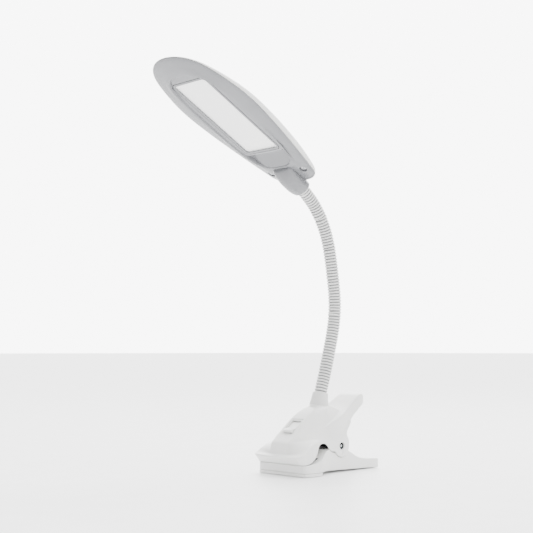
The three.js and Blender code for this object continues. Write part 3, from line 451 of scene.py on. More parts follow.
# %% Handing pieces to the frame
def hand_over(piece, material, slot, body, *nodes):
    piece.data.materials.clear()
    piece.data.materials.append(material)
    if nodes:
        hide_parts(*nodes)
    if body:
        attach(piece, body)
    return piece


def triangles(piece):
    piece.data.calc_loop_triangles()
    return len(piece.data.loop_triangles)


# %% [markdown]
# ## Lower jaw
# The lower jaw is one ABS moulding: a broad foot under the nose, a grip face that climbs towards
# the pivot, two lugs for the pin and a tail to squeeze. It is the crossing of a side outline and a
# plan outline, as a mould maker would draw it, then it is cored out and pierced.

# %% The jaw's plan and side outlines
LOWER_PLAN = [
    (JAW_FRONT, NOSE_HALF_WIDTH - 2.4),
    (JAW_FRONT + 0.8, NOSE_HALF_WIDTH - 0.9),
    (JAW_FRONT + 2.8, NOSE_HALF_WIDTH),
    (6, NOSE_HALF_WIDTH - 0.2),
    (13, NOSE_HALF_WIDTH - 1.6),
    (22, NOSE_HALF_WIDTH - 7),
    (32, CHEEK_HALF_WIDTH + 2),
    (44, CHEEK_HALF_WIDTH),
    (66, CHEEK_HALF_WIDTH - 1.6),
    (90, 15.6),
    (TAIL_END, 15),
]
GRIP_FACE = [(JAW_FRONT, 10.7), (0, 11.6), (9, 13.4), (16, 16.6), (23, 20.2), (29, 22.4), (36, 23)]
TAIL_TOP = [
    (62.6, 20.6), (66, 18.6), (70, 16.8), (75, 14.4), (80, 12.5), (89, 10.8), (TAIL_END, 9.4)
]
LUG_RADIUS = 10.8
LUG_HALF = CHEEK_HALF_WIDTH - 2.6
LUG_THICKNESS = 3
# A cutter reaches this far past either side of the clip, or this high over a jaw.
PAST_SIDE, OVER_JAW, OVER_CLIP = 40, 60, 90


def lower_plan(inset, start, end):
    ys = np.linspace(start, end, 60)
    xs = smooth_value(LOWER_PLAN, ys) - inset
    right = np.column_stack([xs, ys])
    left = np.column_stack([-xs, ys])[::-1]
    return np.vstack([right, left])


def arc_about_pivot(radius, start, end, steps=28):
    angles = np.radians(np.linspace(start, end, steps))
    return np.column_stack([PIVOT[1] + radius * np.cos(angles), PIVOT[2] + radius * np.sin(angles)])


def cross_bar(name, x0, x1, radius, sides=48):
    return turned(
        name, (x0, PIVOT[1], PIVOT[2]), (1, 0, 0), [(0, radius), (x1 - x0, radius)], sides
    )


grip_y = np.linspace(JAW_FRONT, 36, 40)
grip_line = np.column_stack([grip_y, smooth_value(GRIP_FACE, grip_y)])
tail_y = np.linspace(62.6, TAIL_END, 30)
tail_line = np.column_stack([tail_y, smooth_value(TAIL_TOP, tail_y)])
side_outline = np.vstack(
    [
        [(JAW_FRONT, FOOT_HEIGHT), (FOOT_REAR, FOOT_HEIGHT), (TAIL_END, 0.2)],
        tail_line[::-1],
        grip_line[::-1],
    ]
)

# %% Skin, core and lugs
lower_jaw = prism("lower_jaw_shell", "x", side_outline, -NOSE_HALF_WIDTH - 1, NOSE_HALF_WIDTH + 1)
combine(
    lower_jaw, prism("plan", "z", lower_plan(0, JAW_FRONT, TAIL_END), -1, OVER_JAW), "INTERSECT"
)
trough = prism(
    "trough",
    "x",
    [(32, 6), (TAIL_END - 14, 3.5), (TAIL_END - 14, 40), (32, 40)],
    -LUG_HALF + LUG_THICKNESS,
    LUG_HALF - LUG_THICKNESS,
)
combine(trough, prism("slim", "z", lower_plan(2.5, 30, TAIL_END - 10), -1, OVER_JAW), "INTERSECT")
combine(lower_jaw, trough, "DIFFERENCE")
cheek_room = [
    (32.2, 23),
    (37, 20),
    (PIVOT[1], 17),
    (PIVOT[1] + LUG_RADIUS, 22),
    (PIVOT[1] + LUG_RADIUS, OVER_JAW),
    (32.2, OVER_JAW),
]
lug = np.vstack(
    [
        [(PIVOT[1] + LUG_RADIUS - 2, 4)],
        arc_about_pivot(LUG_RADIUS - 2, 0, 180),
        [(PIVOT[1] - LUG_RADIUS + 2, 4)],
    ]
)
for side in (-1, 1):
    outer, far = side * LUG_HALF, side * (NOSE_HALF_WIDTH + 2)
    inner = side * (LUG_HALF - LUG_THICKNESS)
    combine(
        lower_jaw,
        cross_bar("recess", min(outer, far), max(outer, far), LUG_RADIUS + 0.4),
        "DIFFERENCE",
    )
    combine(
        lower_jaw, prism("room", "x", cheek_room, min(outer, far), max(outer, far)), "DIFFERENCE"
    )
    combine(lower_jaw, prism("lug", "x", lug, min(inner, outer), max(inner, outer)), "UNION")
combine(lower_jaw, cross_bar("shaft", -PAST_SIDE, PAST_SIDE, PIN_RADIUS + 0.1), "DIFFERENCE")
soften(lower_jaw)
print("lower jaw:", triangles(lower_jaw), "triangles")
hand_over(lower_jaw, white_shell, "white_shell", "lower_jaw", "lower_jaw")

# %% [markdown]
# The foot is the flat sole that the nose stands on. It is the same plan as the jaw, cut short, and
# a bevel gives it the thin bright line of a moulded edge. It could be part of the jaw, but the
# frame keeps it as a piece of its own.

# %% The foot under the nose
FOOT_TOP = 2.9
foot_front = [(JAW_FRONT, FOOT_TOP), (JAW_FRONT, 0.2), (JAW_FRONT + 0.2, 0)]
foot_rear = [(FOOT_REAR - 1.2, 0), (FOOT_REAR, 1.2), (FOOT_REAR, FOOT_TOP)]
foot_side = foot_front[1:] + foot_rear + foot_front[:1]
foot = prism("foot", "z", lower_plan(0, JAW_FRONT, FOOT_REAR), 0, FOOT_TOP)
combine(foot, prism("foot side", "x", foot_side, -PAST_SIDE, PAST_SIDE), "INTERSECT")
bevel_edges(foot, 0.35, 2)
hand_over(foot, white_shell, "white_shell", "lower_jaw", "foot_pad")
print("foot:", triangles(foot), "triangles")

# %% [markdown]
# ## Upper jaw
# The housing carries the neck, the switch and the cell. Level sections from the parting line to
# the top give it its brim, its flat front and its shoulders. The cheeks and the thumb lever are a
# second body that grows out of it, and a side outline cuts the throat, the round lug and the edge
# under the lever.

# %% Sections of the housing
# height, front, half width of the flat front, half width, corner end, brim's rise, front crease
HOUSING_LEVELS = [
    (6, -11.5, NOSE_HALF_WIDTH - 4, NOSE_HALF_WIDTH - 1.4, -8, 0, 0),
    (11, -13.2, NOSE_HALF_WIDTH - 3.6, NOSE_HALF_WIDTH - 0.6, -9.6, 0, 0),
    (14.4, -17.2, NOSE_HALF_WIDTH - 4.5, NOSE_HALF_WIDTH - 0.3, -12, 0.6, 0),
    (17.3, -20.4, NOSE_HALF_WIDTH - 6, NOSE_HALF_WIDTH, -14, 1, 0),
    (18.2, -20.2, NOSE_HALF_WIDTH - 7, NOSE_HALF_WIDTH - 0.1, -13.6, 1, 0),
    (19, -18.4, NOSE_HALF_WIDTH - 14, NOSE_HALF_WIDTH - 0.3, -12.8, 1, 0.3),
    (19.7, -16.9, 12.6, NOSE_HALF_WIDTH - 0.6, -11.6, 1, 1),
    (22, -16, 12.2, NOSE_HALF_WIDTH - 1.4, -7.5, 0.8, 1),
    (27, -15.2, 11.8, NOSE_HALF_WIDTH - 3.4, 0, 0.4, 1),
    (31.6, -14, 11.2, NOSE_HALF_WIDTH - 6.6, 9, 0.1, 1),
    (33, -12.4, 11, NOSE_HALF_WIDTH - 8, 12, 0, 0.8),
    (36.6, -7.8, 10.6, NOSE_HALF_WIDTH - 10.4, 18, 0, 0.3),
    (41.4, -2.3, 10.2, NOSE_HALF_WIDTH - 12.4, 24, 0, 0.2),
    (47.6, 4.4, 9.6, NOSE_HALF_WIDTH - 14.6, 28, 0, 0.1),
    (53.4, 11.3, 8.8, NOSE_HALF_WIDTH - 16.6, 32, 0, 0),
    (59.8, 21, 7.6, NOSE_HALF_WIDTH - 19.4, 37, 0, 0),
    (63.8, 29.4, 6, NOSE_HALF_WIDTH - 22.6, 41, 0, 0),
    (66, 36, 4.4, NOSE_HALF_WIDTH - 26.4, 43, 0, 0),
]
BRIM_RISE = [(-16, 0), (-8, 2.4), (0, 4.8), (10, 6)]
HOUSING_REAR = [(6, 66), (52, 66), (57, 62), (61, 56), (66, 46)]
CHEEK_LINE = [(6, 19.8), (44, 19.4), (52, 16.6), (59, 12.6), (66, 6.6)]
BRIM_HEIGHT = 17.4
CORNER_RISE = 2
WALL = 2.2


def level_value(column, height):
    return float(smooth_value([(level[0], level[column]) for level in HOUSING_LEVELS], height))


def housing_ring(height, inset):
    front, flat, half, corner_end, rise, crease = (level_value(c, height) for c in range(1, 7))
    rear_end = float(smooth_value(HOUSING_REAR, height))
    cheek = min(float(smooth_value(CHEEK_LINE, height)), half)
    cheek_from = max(min(40, rear_end - 6), corner_end + 4)
    t = np.linspace(0, math.pi / 2, 18)
    power = 1 if inset else 1 - 0.5 * max(0.0, min(crease, 1.0))
    corner = np.column_stack(
        [flat + (half - flat) * np.sin(t), front + (corner_end - front) * (1 - np.cos(t)) ** power]
    )
    t = np.linspace(0, 1, 13)[1:]
    ease = (1 - np.cos(math.pi * t)) / 2
    flank = np.column_stack(
        [half + (cheek - half) * ease, corner_end + (cheek_from - corner_end) * t]
    )
    side = np.vstack([[(0.8, front), (flat / 2, front)], corner, flank, [(cheek, rear_end)]])
    x = np.maximum(side[:, 0] - inset, 0.8)
    y = np.clip(side[:, 1] + inset * 1.8, front + inset * 1.8, rear_end - inset)
    lift = rise * (CORNER_RISE * (x / NOSE_HALF_WIDTH) ** 4 + smooth_value(BRIM_RISE, y))
    z = height - (inset if height > BRIM_HEIGHT else 0) + lift
    right = np.column_stack([x, y, z])
    left = (right * (-1, 1, 1))[::-1]
    return np.vstack([right, left])


def housing_body(name, inset):
    heights = np.concatenate(
        [np.arange(6, 17, 1.2), np.arange(17.3, 21, 0.45), np.arange(21.4, 66.01, 1.3)]
    )
    if inset:
        heights = np.array(
            [6, 11, 14.4, 20.5, 22, 27, 31.6, 36.6, 41.4, 47.6, 53.4, 59.8, 63.8, 66]
        )
    return loft(name, [housing_ring(h, inset) for h in heights])


# %% [markdown]
# The cheeks carry the pin and run up into the lever that the thumb presses. One plan crossed with
# one side outline gives both. The same function, set in by the wall, gives the room inside them.

# %% The cheeks and the thumb lever
LEVER_PLAN = [
    (8, CHEEK_HALF_WIDTH - 2),
    (30, CHEEK_HALF_WIDTH),
    (56, CHEEK_HALF_WIDTH),
    (66, 16.6),
    (76, 14.8),
    (85, 14.2),
    (90, 13.2),
    (92, 11.6),
    (92.8, 9),
]
LEVER_TOP = [
    (8, 36.4),
    (28, 45),
    (51, 56),
    (66, 64),
    (78, 71.6),
    (84, 75),
    (88, 75.8),
    (91, 74.2),
    (92.8, 71),
]
LEVER_END = 92.8


def lever_body(name, inset):
    ys = np.concatenate([np.linspace(8, 84, 40), np.linspace(85, LEVER_END, 14)])
    xs = smooth_value(LEVER_PLAN, ys) - inset
    ends = np.minimum(ys, LEVER_END - inset)
    plan = np.vstack([np.column_stack([xs, ends]), np.column_stack([-xs, ends])[::-1]])
    keep = np.concatenate([[True], np.linalg.norm(np.diff(plan, axis=0), axis=1) > 0.01])
    top = np.column_stack([ys, smooth_value(LEVER_TOP, ys) - inset * 1.1])
    outline = np.vstack([[(8, 0), (96, 0), (96, top[-1, 1])], top[::-1]])
    body = prism(name, "z", plan[keep], -1, OVER_CLIP)
    return combine(body, prism("lever side", "x", outline, -PAST_SIDE, PAST_SIDE), "INTERSECT")


# %% [markdown]
# Seen from the side, the throat arches over the grip face, the lug is round about the pin, and the
# lever's underside sweeps up. One outline cuts all three at once, so that they meet without a step.

# %% The side outline
NOSE_WALL_EDGE = [
    (-30, 10.9), (-13.5, 10.9), (-6, 11.5), (-2, 12.9), (3, 15.2), (7, 18), (10.6, 22.8), (12, 27.2)
]
THROAT_ARCH = [(13.6, 28.8), (16, 29.5), (20, 29.6), (24, 29.2), (29, 27), (33, 23.4), (37.4, 20.6)]
LEVER_EDGE = [
    (62, 22.6),
    (61.6, 30),
    (58.4, 35.6),
    (59, 39.6),
    (66, 46.8),
    (73.5, 54),
    (84.8, 62.4),
    (90.4, 65.4),
    (93.2, 68.4),
]
lower_edge = np.vstack(
    [NOSE_WALL_EDGE, THROAT_ARCH, arc_about_pivot(LUG_RADIUS, 207, 345, 24), LEVER_EDGE]
)
jaw_outline = np.vstack(
    [soft_outline(lower_edge, 1, closed=False), [(96, OVER_CLIP), (-30, OVER_CLIP)]]
)

# %% [markdown]
# The neck's curve isn't written down here. It is read from the frame's segments, so that the
# sleeve, the collar and the saddle all follow the neck if its curve changes.

# %% The neck's middle line, read from the ridged segments of the frame
# The points of each segment that stand furthest to the side lie level with its middle line.
SEGMENTS = 8
SIDE_REACH = 5.65
SHORTEST_STEP = 0.6


def segment_line(number):
    points = node_points(f"neck_segment_{number}")
    return points[points[:, 0] > SIDE_REACH][:, 1:]


hinge_places = np.array(
    [
        (joint["pos_m"][1] / MM, joint["pos_m"][2] / MM)
        for name, joint in joints.items()
        if name.startswith(("bend", "sway"))
    ]
)
chain = np.vstack([segment_line(number) for number in range(1, SEGMENTS + 1)])
order = [int(np.argmin(chain[:, 1]))]
left_over = set(range(len(chain))) - set(order)
while left_over:
    nearest = min(left_over, key=lambda i: np.hypot(*(chain[i] - chain[order[-1]])))
    order.append(nearest)
    left_over.remove(nearest)
neck_points = chain[order]
steps = np.hypot(*np.diff(neck_points, axis=0).T)
neck_points = neck_points[np.concatenate([[True], steps > SHORTEST_STEP])]
neck_at = np.concatenate([[0], np.cumsum(np.hypot(*np.diff(neck_points, axis=0).T))])
print("neck line:", len(neck_points), "points,", round(neck_at[-1], 1), "mm")


def neck_place(distance):
    y = smooth_value(np.column_stack([neck_at, neck_points[:, 0]]), distance)
    z = smooth_value(np.column_stack([neck_at, neck_points[:, 1]]), distance)
    return np.array([0.0, float(y), float(z)])


def neck_direction(distance):
    ahead = neck_place(min(distance + 2, neck_at[-1])) - neck_place(max(distance - 2, 0))
    return ahead / np.linalg.norm(ahead)


COLLAR_AT = 12
collar_points = node_points("neck_collar")
collar_axis = neck_direction(COLLAR_AT)
collar_low = (collar_points @ collar_axis).min()
collar_seat = neck_place(COLLAR_AT)
collar_seat = collar_seat + collar_axis * (collar_low - collar_seat @ collar_axis)
NECK_RADIUS = 6.7
print("collar seat at", collar_seat.round(1))

# %% [markdown]
# The real housing is a thin shell, so its room is cut out with a smaller copy of the same body. The
# boss that holds the neck is added after that, and its bore last, so that the bore stays open.

# %% Skin the housing, hollow it and pierce it
upper_jaw = housing_body("upper_jaw_shell", 0)
combine(upper_jaw, lever_body("lever", 0), "UNION")
combine(upper_jaw, prism("side", "x", jaw_outline, -PAST_SIDE, PAST_SIDE), "INTERSECT")
combine(upper_jaw, housing_body("room", WALL), "DIFFERENCE")
combine(upper_jaw, lever_body("lever room", WALL), "DIFFERENCE")
BOSS_RADIUS, BORE_RADIUS = 9.5, 7
boss_profile = [(0, BOSS_RADIUS), (7.2, BOSS_RADIUS)]
bore_profile = [(0, BORE_RADIUS), (24, BORE_RADIUS)]
combine(
    upper_jaw,
    turned("neck boss", collar_seat - collar_axis * 6.4, collar_axis, boss_profile),
    "UNION",
)
neck_bore = turned("neck bore", collar_seat - collar_axis * 12, collar_axis, bore_profile)
combine(upper_jaw, neck_bore, "DIFFERENCE")

# %% [markdown]
# The switch sits square to the sloping front. Its slope is measured on the frame's switch, and the
# well is cut in those directions instead of along the lamp's own axes.

# %% The switch's well, on the slope
slope_body = node_points("switch_body")
slope_edges = np.linalg.svd(slope_body - slope_body.mean(0), full_matrices=False)[2]
up_slope = slope_edges[0] * np.sign(slope_edges[0][2])
off_slope = np.cross([1, 0, 0], up_slope)
well_middle = (slope_body.min(0) + slope_body.max(0)) / 2
SWITCH_HALF_WIDTH = (slope_body[:, 0].max() - slope_body[:, 0].min()) / 2
SWITCH_HALF_LENGTH = np.ptp(slope_body @ up_slope) / 2
SWITCH_TOP = np.ptp(slope_body @ off_slope) / 2


def on_slope(points):
    """From (across, up the slope, off the slope) about the switch's middle top to the lamp."""
    axes = np.array([(1, 0, 0), up_slope, off_slope])
    return np.asarray(points, float) @ axes + well_middle + off_slope * SWITCH_TOP


def slope_block(name, low, high):
    corners = [(low[0], low[1]), (high[0], low[1]), (high[0], high[1]), (low[0], high[1])]
    return loft(
        name, [on_slope([(x, y, level) for x, y in corners]) for level in (low[2], high[2])]
    )


WELL_GAP = 0.5
well_x, well_y = SWITCH_HALF_WIDTH + WELL_GAP, SWITCH_HALF_LENGTH + WELL_GAP
combine(
    upper_jaw,
    slope_block("well", (-well_x, -well_y, -SWITCH_TOP * 2), (well_x, well_y, 9)),
    "DIFFERENCE",
)
print("well half sizes:", round(well_x, 2), "by", round(well_y, 2), "mm")

# %% [markdown]
# A round recess in each cheek leaves room for the pin's end, a shallow groove under it leads the
# pin in when the jaws are put together, and the inlet is the opening for charging. They are cut
# before the remesh, which then rounds their edges as a mould does.

# %% Pin recess, lead-in grooves and the inlet
RECESS_RADIUS, RECESS_DEPTH, GROOVE_DEPTH, INLET_GAP = 3.5, 2.4, 0.7, 0.3
for side in (-1, 1):
    x0, x1 = sorted((side * (CHEEK_HALF_WIDTH - RECESS_DEPTH), side * PAST_SIDE))
    combine(upper_jaw, cross_bar("pin recess", x0, x1, RECESS_RADIUS), "DIFFERENCE")
    groove_x = sorted((side * (CHEEK_HALF_WIDTH - GROOVE_DEPTH), side * PAST_SIDE))
    groove = block(
        "lead-in",
        (groove_x[0], PIVOT[1] - 1.6, PIVOT[2] - 8.4),
        (groove_x[1], PIVOT[1] + 1.8, PIVOT[2] - 2),
    )
    combine(upper_jaw, groove, "DIFFERENCE")
combine(upper_jaw, cross_bar("shaft", -PAST_SIDE, PAST_SIDE, PIN_RADIUS + 0.1), "DIFFERENCE")
inlet_low, inlet_high = box_mm("charge_socket")
inlet_from = (-PAST_SIDE, inlet_low[1] - INLET_GAP, inlet_low[2] - INLET_GAP)
inlet_to = (inlet_high[0], inlet_high[1] + INLET_GAP, inlet_high[2] + INLET_GAP)
combine(upper_jaw, block("inlet", inlet_from, inlet_to), "DIFFERENCE")
soften(upper_jaw)
print("upper jaw:", triangles(upper_jaw), "triangles")
hand_over(upper_jaw, white_shell, "white_shell", "upper_jaw", "upper_jaw_housing")

# %% [markdown]
# ## Rocker
# The rocker is the switch's tipping key: a shallow V whose half towards the nose stands proud. Its
# side outline is carried straight across and its edges are bevelled, because a voxel remesh would
# blur a piece this small. Its ends are measured on the frame's own rocker.

# %% The rocker's body
rocker_low = node_points("switch_rocker")
local = (rocker_low - well_middle - off_slope * SWITCH_TOP) @ np.array(
    [(1, 0, 0), up_slope, off_slope]
).T
half_width = local[:, 0].max()
nose_end, top_end = local[:, 1].min(), local[:, 1].max()
proud = local[np.abs(local[:, 1] - nose_end) < 0.05][:, 2].max()
rest_level = local[np.abs(local[:, 1] - top_end) < 0.05][:, 2].max()
face = [
    (nose_end, proud + 1.2),
    (nose_end + 2.4, proud + 1.0),
    (-0.5, rest_level + 0.1),
    (top_end, rest_level - 0.5),
]
under = [(top_end, rest_level - 1.9), (2.4, -5.0), (-2.4, -5.0), (nose_end, -2.0)]
rings = [on_slope([(x, y, z) for y, z in face + under]) for x in (-half_width, half_width)]
rocker = loft("rocker", rings)
bevel_edges(rocker, 0.45, 3)
hand_over(rocker, white_shell, "white_shell", "rocker", "switch_rocker")
print("rocker:", triangles(rocker), "triangles")

# %% [markdown]
# ## Gooseneck
# The sleeve is a tube whose radius rises and falls every 3 mm along its middle line. Geometry
# Nodes take the line, set the radius from the distance along it and sweep a circle. The sleeve is
# made in lengths from one segment's middle to the next, so each length spans one hinge.

# %% The sleeve's node tree
RIDGE_PITCH = 3.0
VALLEY_RADIUS = 5.5
SAMPLE_STEP = 0.3
CREST_POWER = 0.45
SLEEVE_SIDES = 32


def sleeve_tree():
    tree = bpy.data.node_groups.new("corrugated_sleeve", "GeometryNodeTree")
    sockets = tree.interface
    sockets.new_socket("Geometry", in_out="INPUT", socket_type="NodeSocketGeometry")
    lengths = {
        "Pitch": RIDGE_PITCH,
        "Ridge radius": NECK_RADIUS,
        "Valley radius": VALLEY_RADIUS,
        "Start": 0.0,
    }
    for name, value in lengths.items():
        sockets.new_socket(
            name, in_out="INPUT", socket_type="NodeSocketFloat"
        ).default_value = value * MM
    sockets.new_socket("Sleeve", in_out="INPUT", socket_type="NodeSocketMaterial")
    sockets.new_socket("Geometry", in_out="OUTPUT", socket_type="NodeSocketGeometry")
    entry = add_node(tree, "NodeGroupInput")
    line = add_node(tree, "GeometryNodeMeshToCurve", {"Mesh": entry.outputs["Geometry"]})
    count = add_node(
        tree,
        "GeometryNodeResampleCurve",
        {"Curve": line.outputs["Curve"]},
        {"Length": SAMPLE_STEP * MM},
        mode="LENGTH",
    )
    reach = add_node(tree, "GeometryNodeSplineParameter").outputs["Length"]
    whole = add_node(tree, "ShaderNodeMath", {0: reach, 1: entry.outputs["Start"]}, operation="ADD")
    turns = add_node(
        tree, "ShaderNodeMath", {0: whole.outputs[0], 1: entry.outputs["Pitch"]}, operation="DIVIDE"
    )
    angle = add_node(
        tree, "ShaderNodeMath", {0: turns.outputs[0]}, {1: 2 * math.pi}, operation="MULTIPLY"
    )
    wave = add_node(tree, "ShaderNodeMath", {0: angle.outputs[0]}, operation="COSINE")
    share = add_node(
        tree, "ShaderNodeMapRange", {"Value": wave.outputs[0]}, {"From Min": -1.0, "From Max": 1.0}
    )
    crest = add_node(
        tree, "ShaderNodeMath", {0: share.outputs["Result"]}, {1: CREST_POWER}, operation="POWER"
    )
    radius = add_node(
        tree,
        "ShaderNodeMapRange",
        {
            "Value": crest.outputs[0],
            "To Min": entry.outputs["Valley radius"],
            "To Max": entry.outputs["Ridge radius"],
        },
    )
    # The crest share is stored for the painted shade in the sleeve's valleys.
    marked = add_node(
        tree,
        "GeometryNodeStoreNamedAttribute",
        {"Geometry": count.outputs["Curve"], "Value": share.outputs["Result"]},
        {"Name": "crest"},
        data_type="FLOAT",
    )
    circle = add_node(
        tree, "GeometryNodeCurvePrimitiveCircle", None, {"Resolution": SLEEVE_SIDES, "Radius": 1.0}
    )
    swept = add_node(
        tree,
        "GeometryNodeCurveToMesh",
        {
            "Curve": marked.outputs["Geometry"],
            "Profile Curve": circle.outputs["Curve"],
            "Scale": radius.outputs["Result"],
        },
        {"Fill Caps": True},
    )
    whole_mesh = add_node(tree, "GeometryNodeRealizeInstances", {"Geometry": swept.outputs["Mesh"]})
    dressed = add_node(
        tree,
        "GeometryNodeSetMaterial",
        {"Geometry": whole_mesh.outputs["Geometry"], "Material": entry.outputs["Sleeve"]},
    )
    add_node(tree, "NodeGroupOutput", {"Geometry": dressed.outputs["Geometry"]})
    return tree


def grown(name, base, tree, **values):
    """Runs a node tree on a base mesh and returns the plain result."""
    step = base.modifiers.new("grow", "NODES")
    step.node_group = tree
    for item in tree.interface.items_tree:
        if item.in_out == "INPUT" and item.name in values:
            step[item.identifier] = values[item.name]
    settle(base)
    base.name = name
    close_mesh(base.data, MERGE_MM / 2)
    return base


# %% One length of sleeve over each hinge
sleeve = sleeve_tree()
SLEEVE_FROM, SLEEVE_SHORT, BEND_REACH = 8.0, 0.3, 13
fine = np.linspace(0, neck_at[-1], 1500)
fine_line = np.array([neck_place(d)[1:] for d in fine])
hinge_at = [fine[np.argmin(np.hypot(*(fine_line - hinge).T))] for hinge in hinge_places]
between = [(a + b) / 2 for a, b in zip(hinge_at, hinge_at[1:])]
cuts = [SLEEVE_FROM] + between + [neck_at[-1] - SLEEVE_SHORT]
cuts = [round(c / RIDGE_PITCH) * RIDGE_PITCH + RIDGE_PITCH / 2 for c in cuts[:-1]] + [cuts[-1]]
for i, (start, end) in enumerate(zip(cuts, cuts[1:])):
    distances = np.linspace(start, end, max(8, round((end - start) / 1.5)))
    base = guide("sleeve line", [neck_place(d) for d in distances], joined=True)
    piece = grown(f"neck_sleeve_{i + 1}", base, sleeve, Start=start * MM, Sleeve=neck_sleeve)
    piece.data.shade_smooth()
    nodes = ["neck_segment_1", "neck_segment_2"] if i == 0 else [f"neck_segment_{i + 2}"]
    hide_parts(*nodes)
    middle, direction = neck_place(hinge_at[i]), neck_direction(hinge_at[i])
    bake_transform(piece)
print("sleeve lengths:", len(cuts) - 1, "of", triangles(piece), "triangles")

# %% [markdown]
# The collar is a soft PVC ferrule that covers the sleeve's cut end. It is round, so one profile is
# turned about the neck's direction at the seat.

# %% The collar where the neck leaves the housing
# distance from the seat, radius: up the outside, over the lip and back down the bore
COLLAR_PROFILE = [
    (0.05, 7.0),
    (0.05, 9.3),
    (0.5, 9.55),
    (6, 8.75),
    (12.6, 7.85),
    (13.3, 7.6),
    (13.6, 7.2),
    (13.55, 6.6),
    (6, 6.6),
]
collar = turned("collar", collar_seat, collar_axis, COLLAR_PROFILE, 64)
smooth_by_angle(collar, 50)
hand_over(collar, collar_rubber, "neck_sleeve", "upper_jaw", "neck_collar")
print("collar:", triangles(collar), "triangles")

# %% [markdown]
# ## Lamp head
# The head is two mouldings that meet at the rim: a low white dome and a silver-grey bowl with a
# dish round the window. Both are rings of one oval outline, moved in step by step.

# %% The head's outline and its heights
HEAD_TIP, HEAD_END, HEAD_HALF_WIDTH = -87.0, 110.0, 47.9
HEAD_OUTLINE = [
    (19.5, -82.4),
    (34, -69.4),
    (44.9, -38),
    (47.9, -14),
    (45.4, 18),
    (39, 55.6),
    (31.8, 88.9),
    (28, 101.4),
    (19, 108),
]
DOME_HEIGHT = [
    (-87, 1.4),
    (-84, 1.8),
    (-63, 4),
    (-43, 6.4),
    (-20, 8),
    (6, 9.4),
    (37, 10.6),
    (68, 10.6),
    (91, 8.4),
    (101, 6.2),
    (110, 3),
]
HEAD_SEAM = 0.4
SHELL_WALL = 1.8


def closed_curve(points, count):
    """Evenly spaced points on a smooth closed curve through the given ones."""
    points = np.asarray(points, float)
    n = len(points)
    fine = []
    for i in range(n):
        p0, p1, p2, p3 = points[i - 1], points[i], points[(i + 1) % n], points[(i + 2) % n]
        d = [max(np.linalg.norm(b - a), 1e-6) ** 0.5 for a, b in ((p0, p1), (p1, p2), (p2, p3))]
        m1 = (p1 - p0) / d[0] - (p2 - p0) / (d[0] + d[1]) + (p2 - p1) / d[1]
        m2 = (p2 - p1) / d[1] - (p3 - p1) / (d[1] + d[2]) + (p3 - p2) / d[2]
        for t in np.linspace(0, 1, 24, endpoint=False):
            h = (2 * t**3 - 3 * t**2 + 1, 3 * t**2 - 2 * t**3, t**3 - 2 * t**2 + t, t**3 - t**2)
            fine.append(h[0] * p1 + h[1] * p2 + h[2] * m1 * d[1] + h[3] * m2 * d[1])
    fine = np.array(fine + [fine[0]])
    length = np.concatenate([[0], np.cumsum(np.linalg.norm(np.diff(fine, axis=0), axis=1))])
    at = np.linspace(0, length[-1], count, endpoint=False)
    return np.column_stack([np.interp(at, length, fine[:, k]) for k in (0, 1)])


right_side = [(0, HEAD_TIP)] + HEAD_OUTLINE + [(0, HEAD_END)]
outline = closed_curve(right_side + [(-x, y) for x, y in HEAD_OUTLINE[::-1]], 192)
print("head outline:", len(outline), "points")


def rim_height(y):
    return 2.2 + y / 99


def head_ring(inset, height_at):
    middle, half = (HEAD_TIP + HEAD_END) / 2, (HEAD_END - HEAD_TIP) / 2
    x = outline[:, 0] * (HEAD_HALF_WIDTH - inset) / HEAD_HALF_WIDTH
    y = middle + (outline[:, 1] - middle) * (half - inset) / half
    return np.column_stack([x, y, height_at(y) + np.zeros(len(y))])


def squared_ring(half_width, start, end, power, height_at):
    middle, half = (start + end) / 2, (end - start) / 2
    x, y = outline[:, 0], outline[:, 1]
    reach = (np.abs(x / half_width) ** power + np.abs((y - middle) / half) ** power) ** (1 / power)
    ry = middle + (y - middle) / reach
    return np.column_stack([x / reach, ry, height_at(ry) + np.zeros(len(ry))])


# %% [markdown]
# The dome is the head's back: steep at the rim and nearly flat above. Rings of the outline step
# inwards and rise, and a second set under them closes it into a wall with a true thickness.

# %% The white dome
DOME_STEPS = [
    (0, 0.0),
    (0.25, 0.25),
    (0.9, 0.47),
    (2.6, 0.7),
    (5, 0.82),
    (8, 0.9),
    (18, 0.98),
    (32, 1.02),
    (47, 1.03),
]


def dome_rings():
    steps = np.concatenate(
        [np.linspace(0, 3, 10), np.linspace(3.8, 12, 9), np.linspace(14, 47, 12)]
    )
    rings = []
    for step in steps:
        share = float(smooth_value(DOME_STEPS, step))
        rings.append(
            head_ring(
                step, lambda y: rim_height(y) + HEAD_SEAM + smooth_value(DOME_HEIGHT, y) * share
            )
        )
    return rings


rim_low = head_ring(0, lambda y: rim_height(y) + HEAD_SEAM - 0.05)
rim_in = head_ring(SHELL_WALL, lambda y: rim_height(y) + HEAD_SEAM - 0.05)
# inset from the rim, share of the dome's height
DOME_INSIDE = [(0.2, 0.3), (3, 0.62), (10, 0.76), (30, 0.85), (45, 0.86)]
inside = [
    head_ring(
        SHELL_WALL + step, lambda y: rim_height(y) + 0.6 + smooth_value(DOME_HEIGHT, y) * share
    )
    for step, share in DOME_INSIDE
]
dome_skin = [rim_in, rim_low] + dome_rings()
dome = loft("head_dome", [head_to_lamp(ring) for ring in inside[::-1] + dome_skin])
smooth_by_angle(dome, 40)
hand_over(dome, white_shell, "white_shell", "head", "head_top_shell")
print("dome:", triangles(dome), "triangles")

# %% [markdown]
# The cover's rings run from the rim to the dish and back along the inside, so the loft is endless
# and needs no caps. The window and the screw recesses are cut afterwards, because a cut follows a
# rounded rectangle more truly than bent rings do.

# %% The silver-grey cover with its dish and window
WINDOW_HALF, WINDOW_CORNER = (24.5, 55.0), 6.0


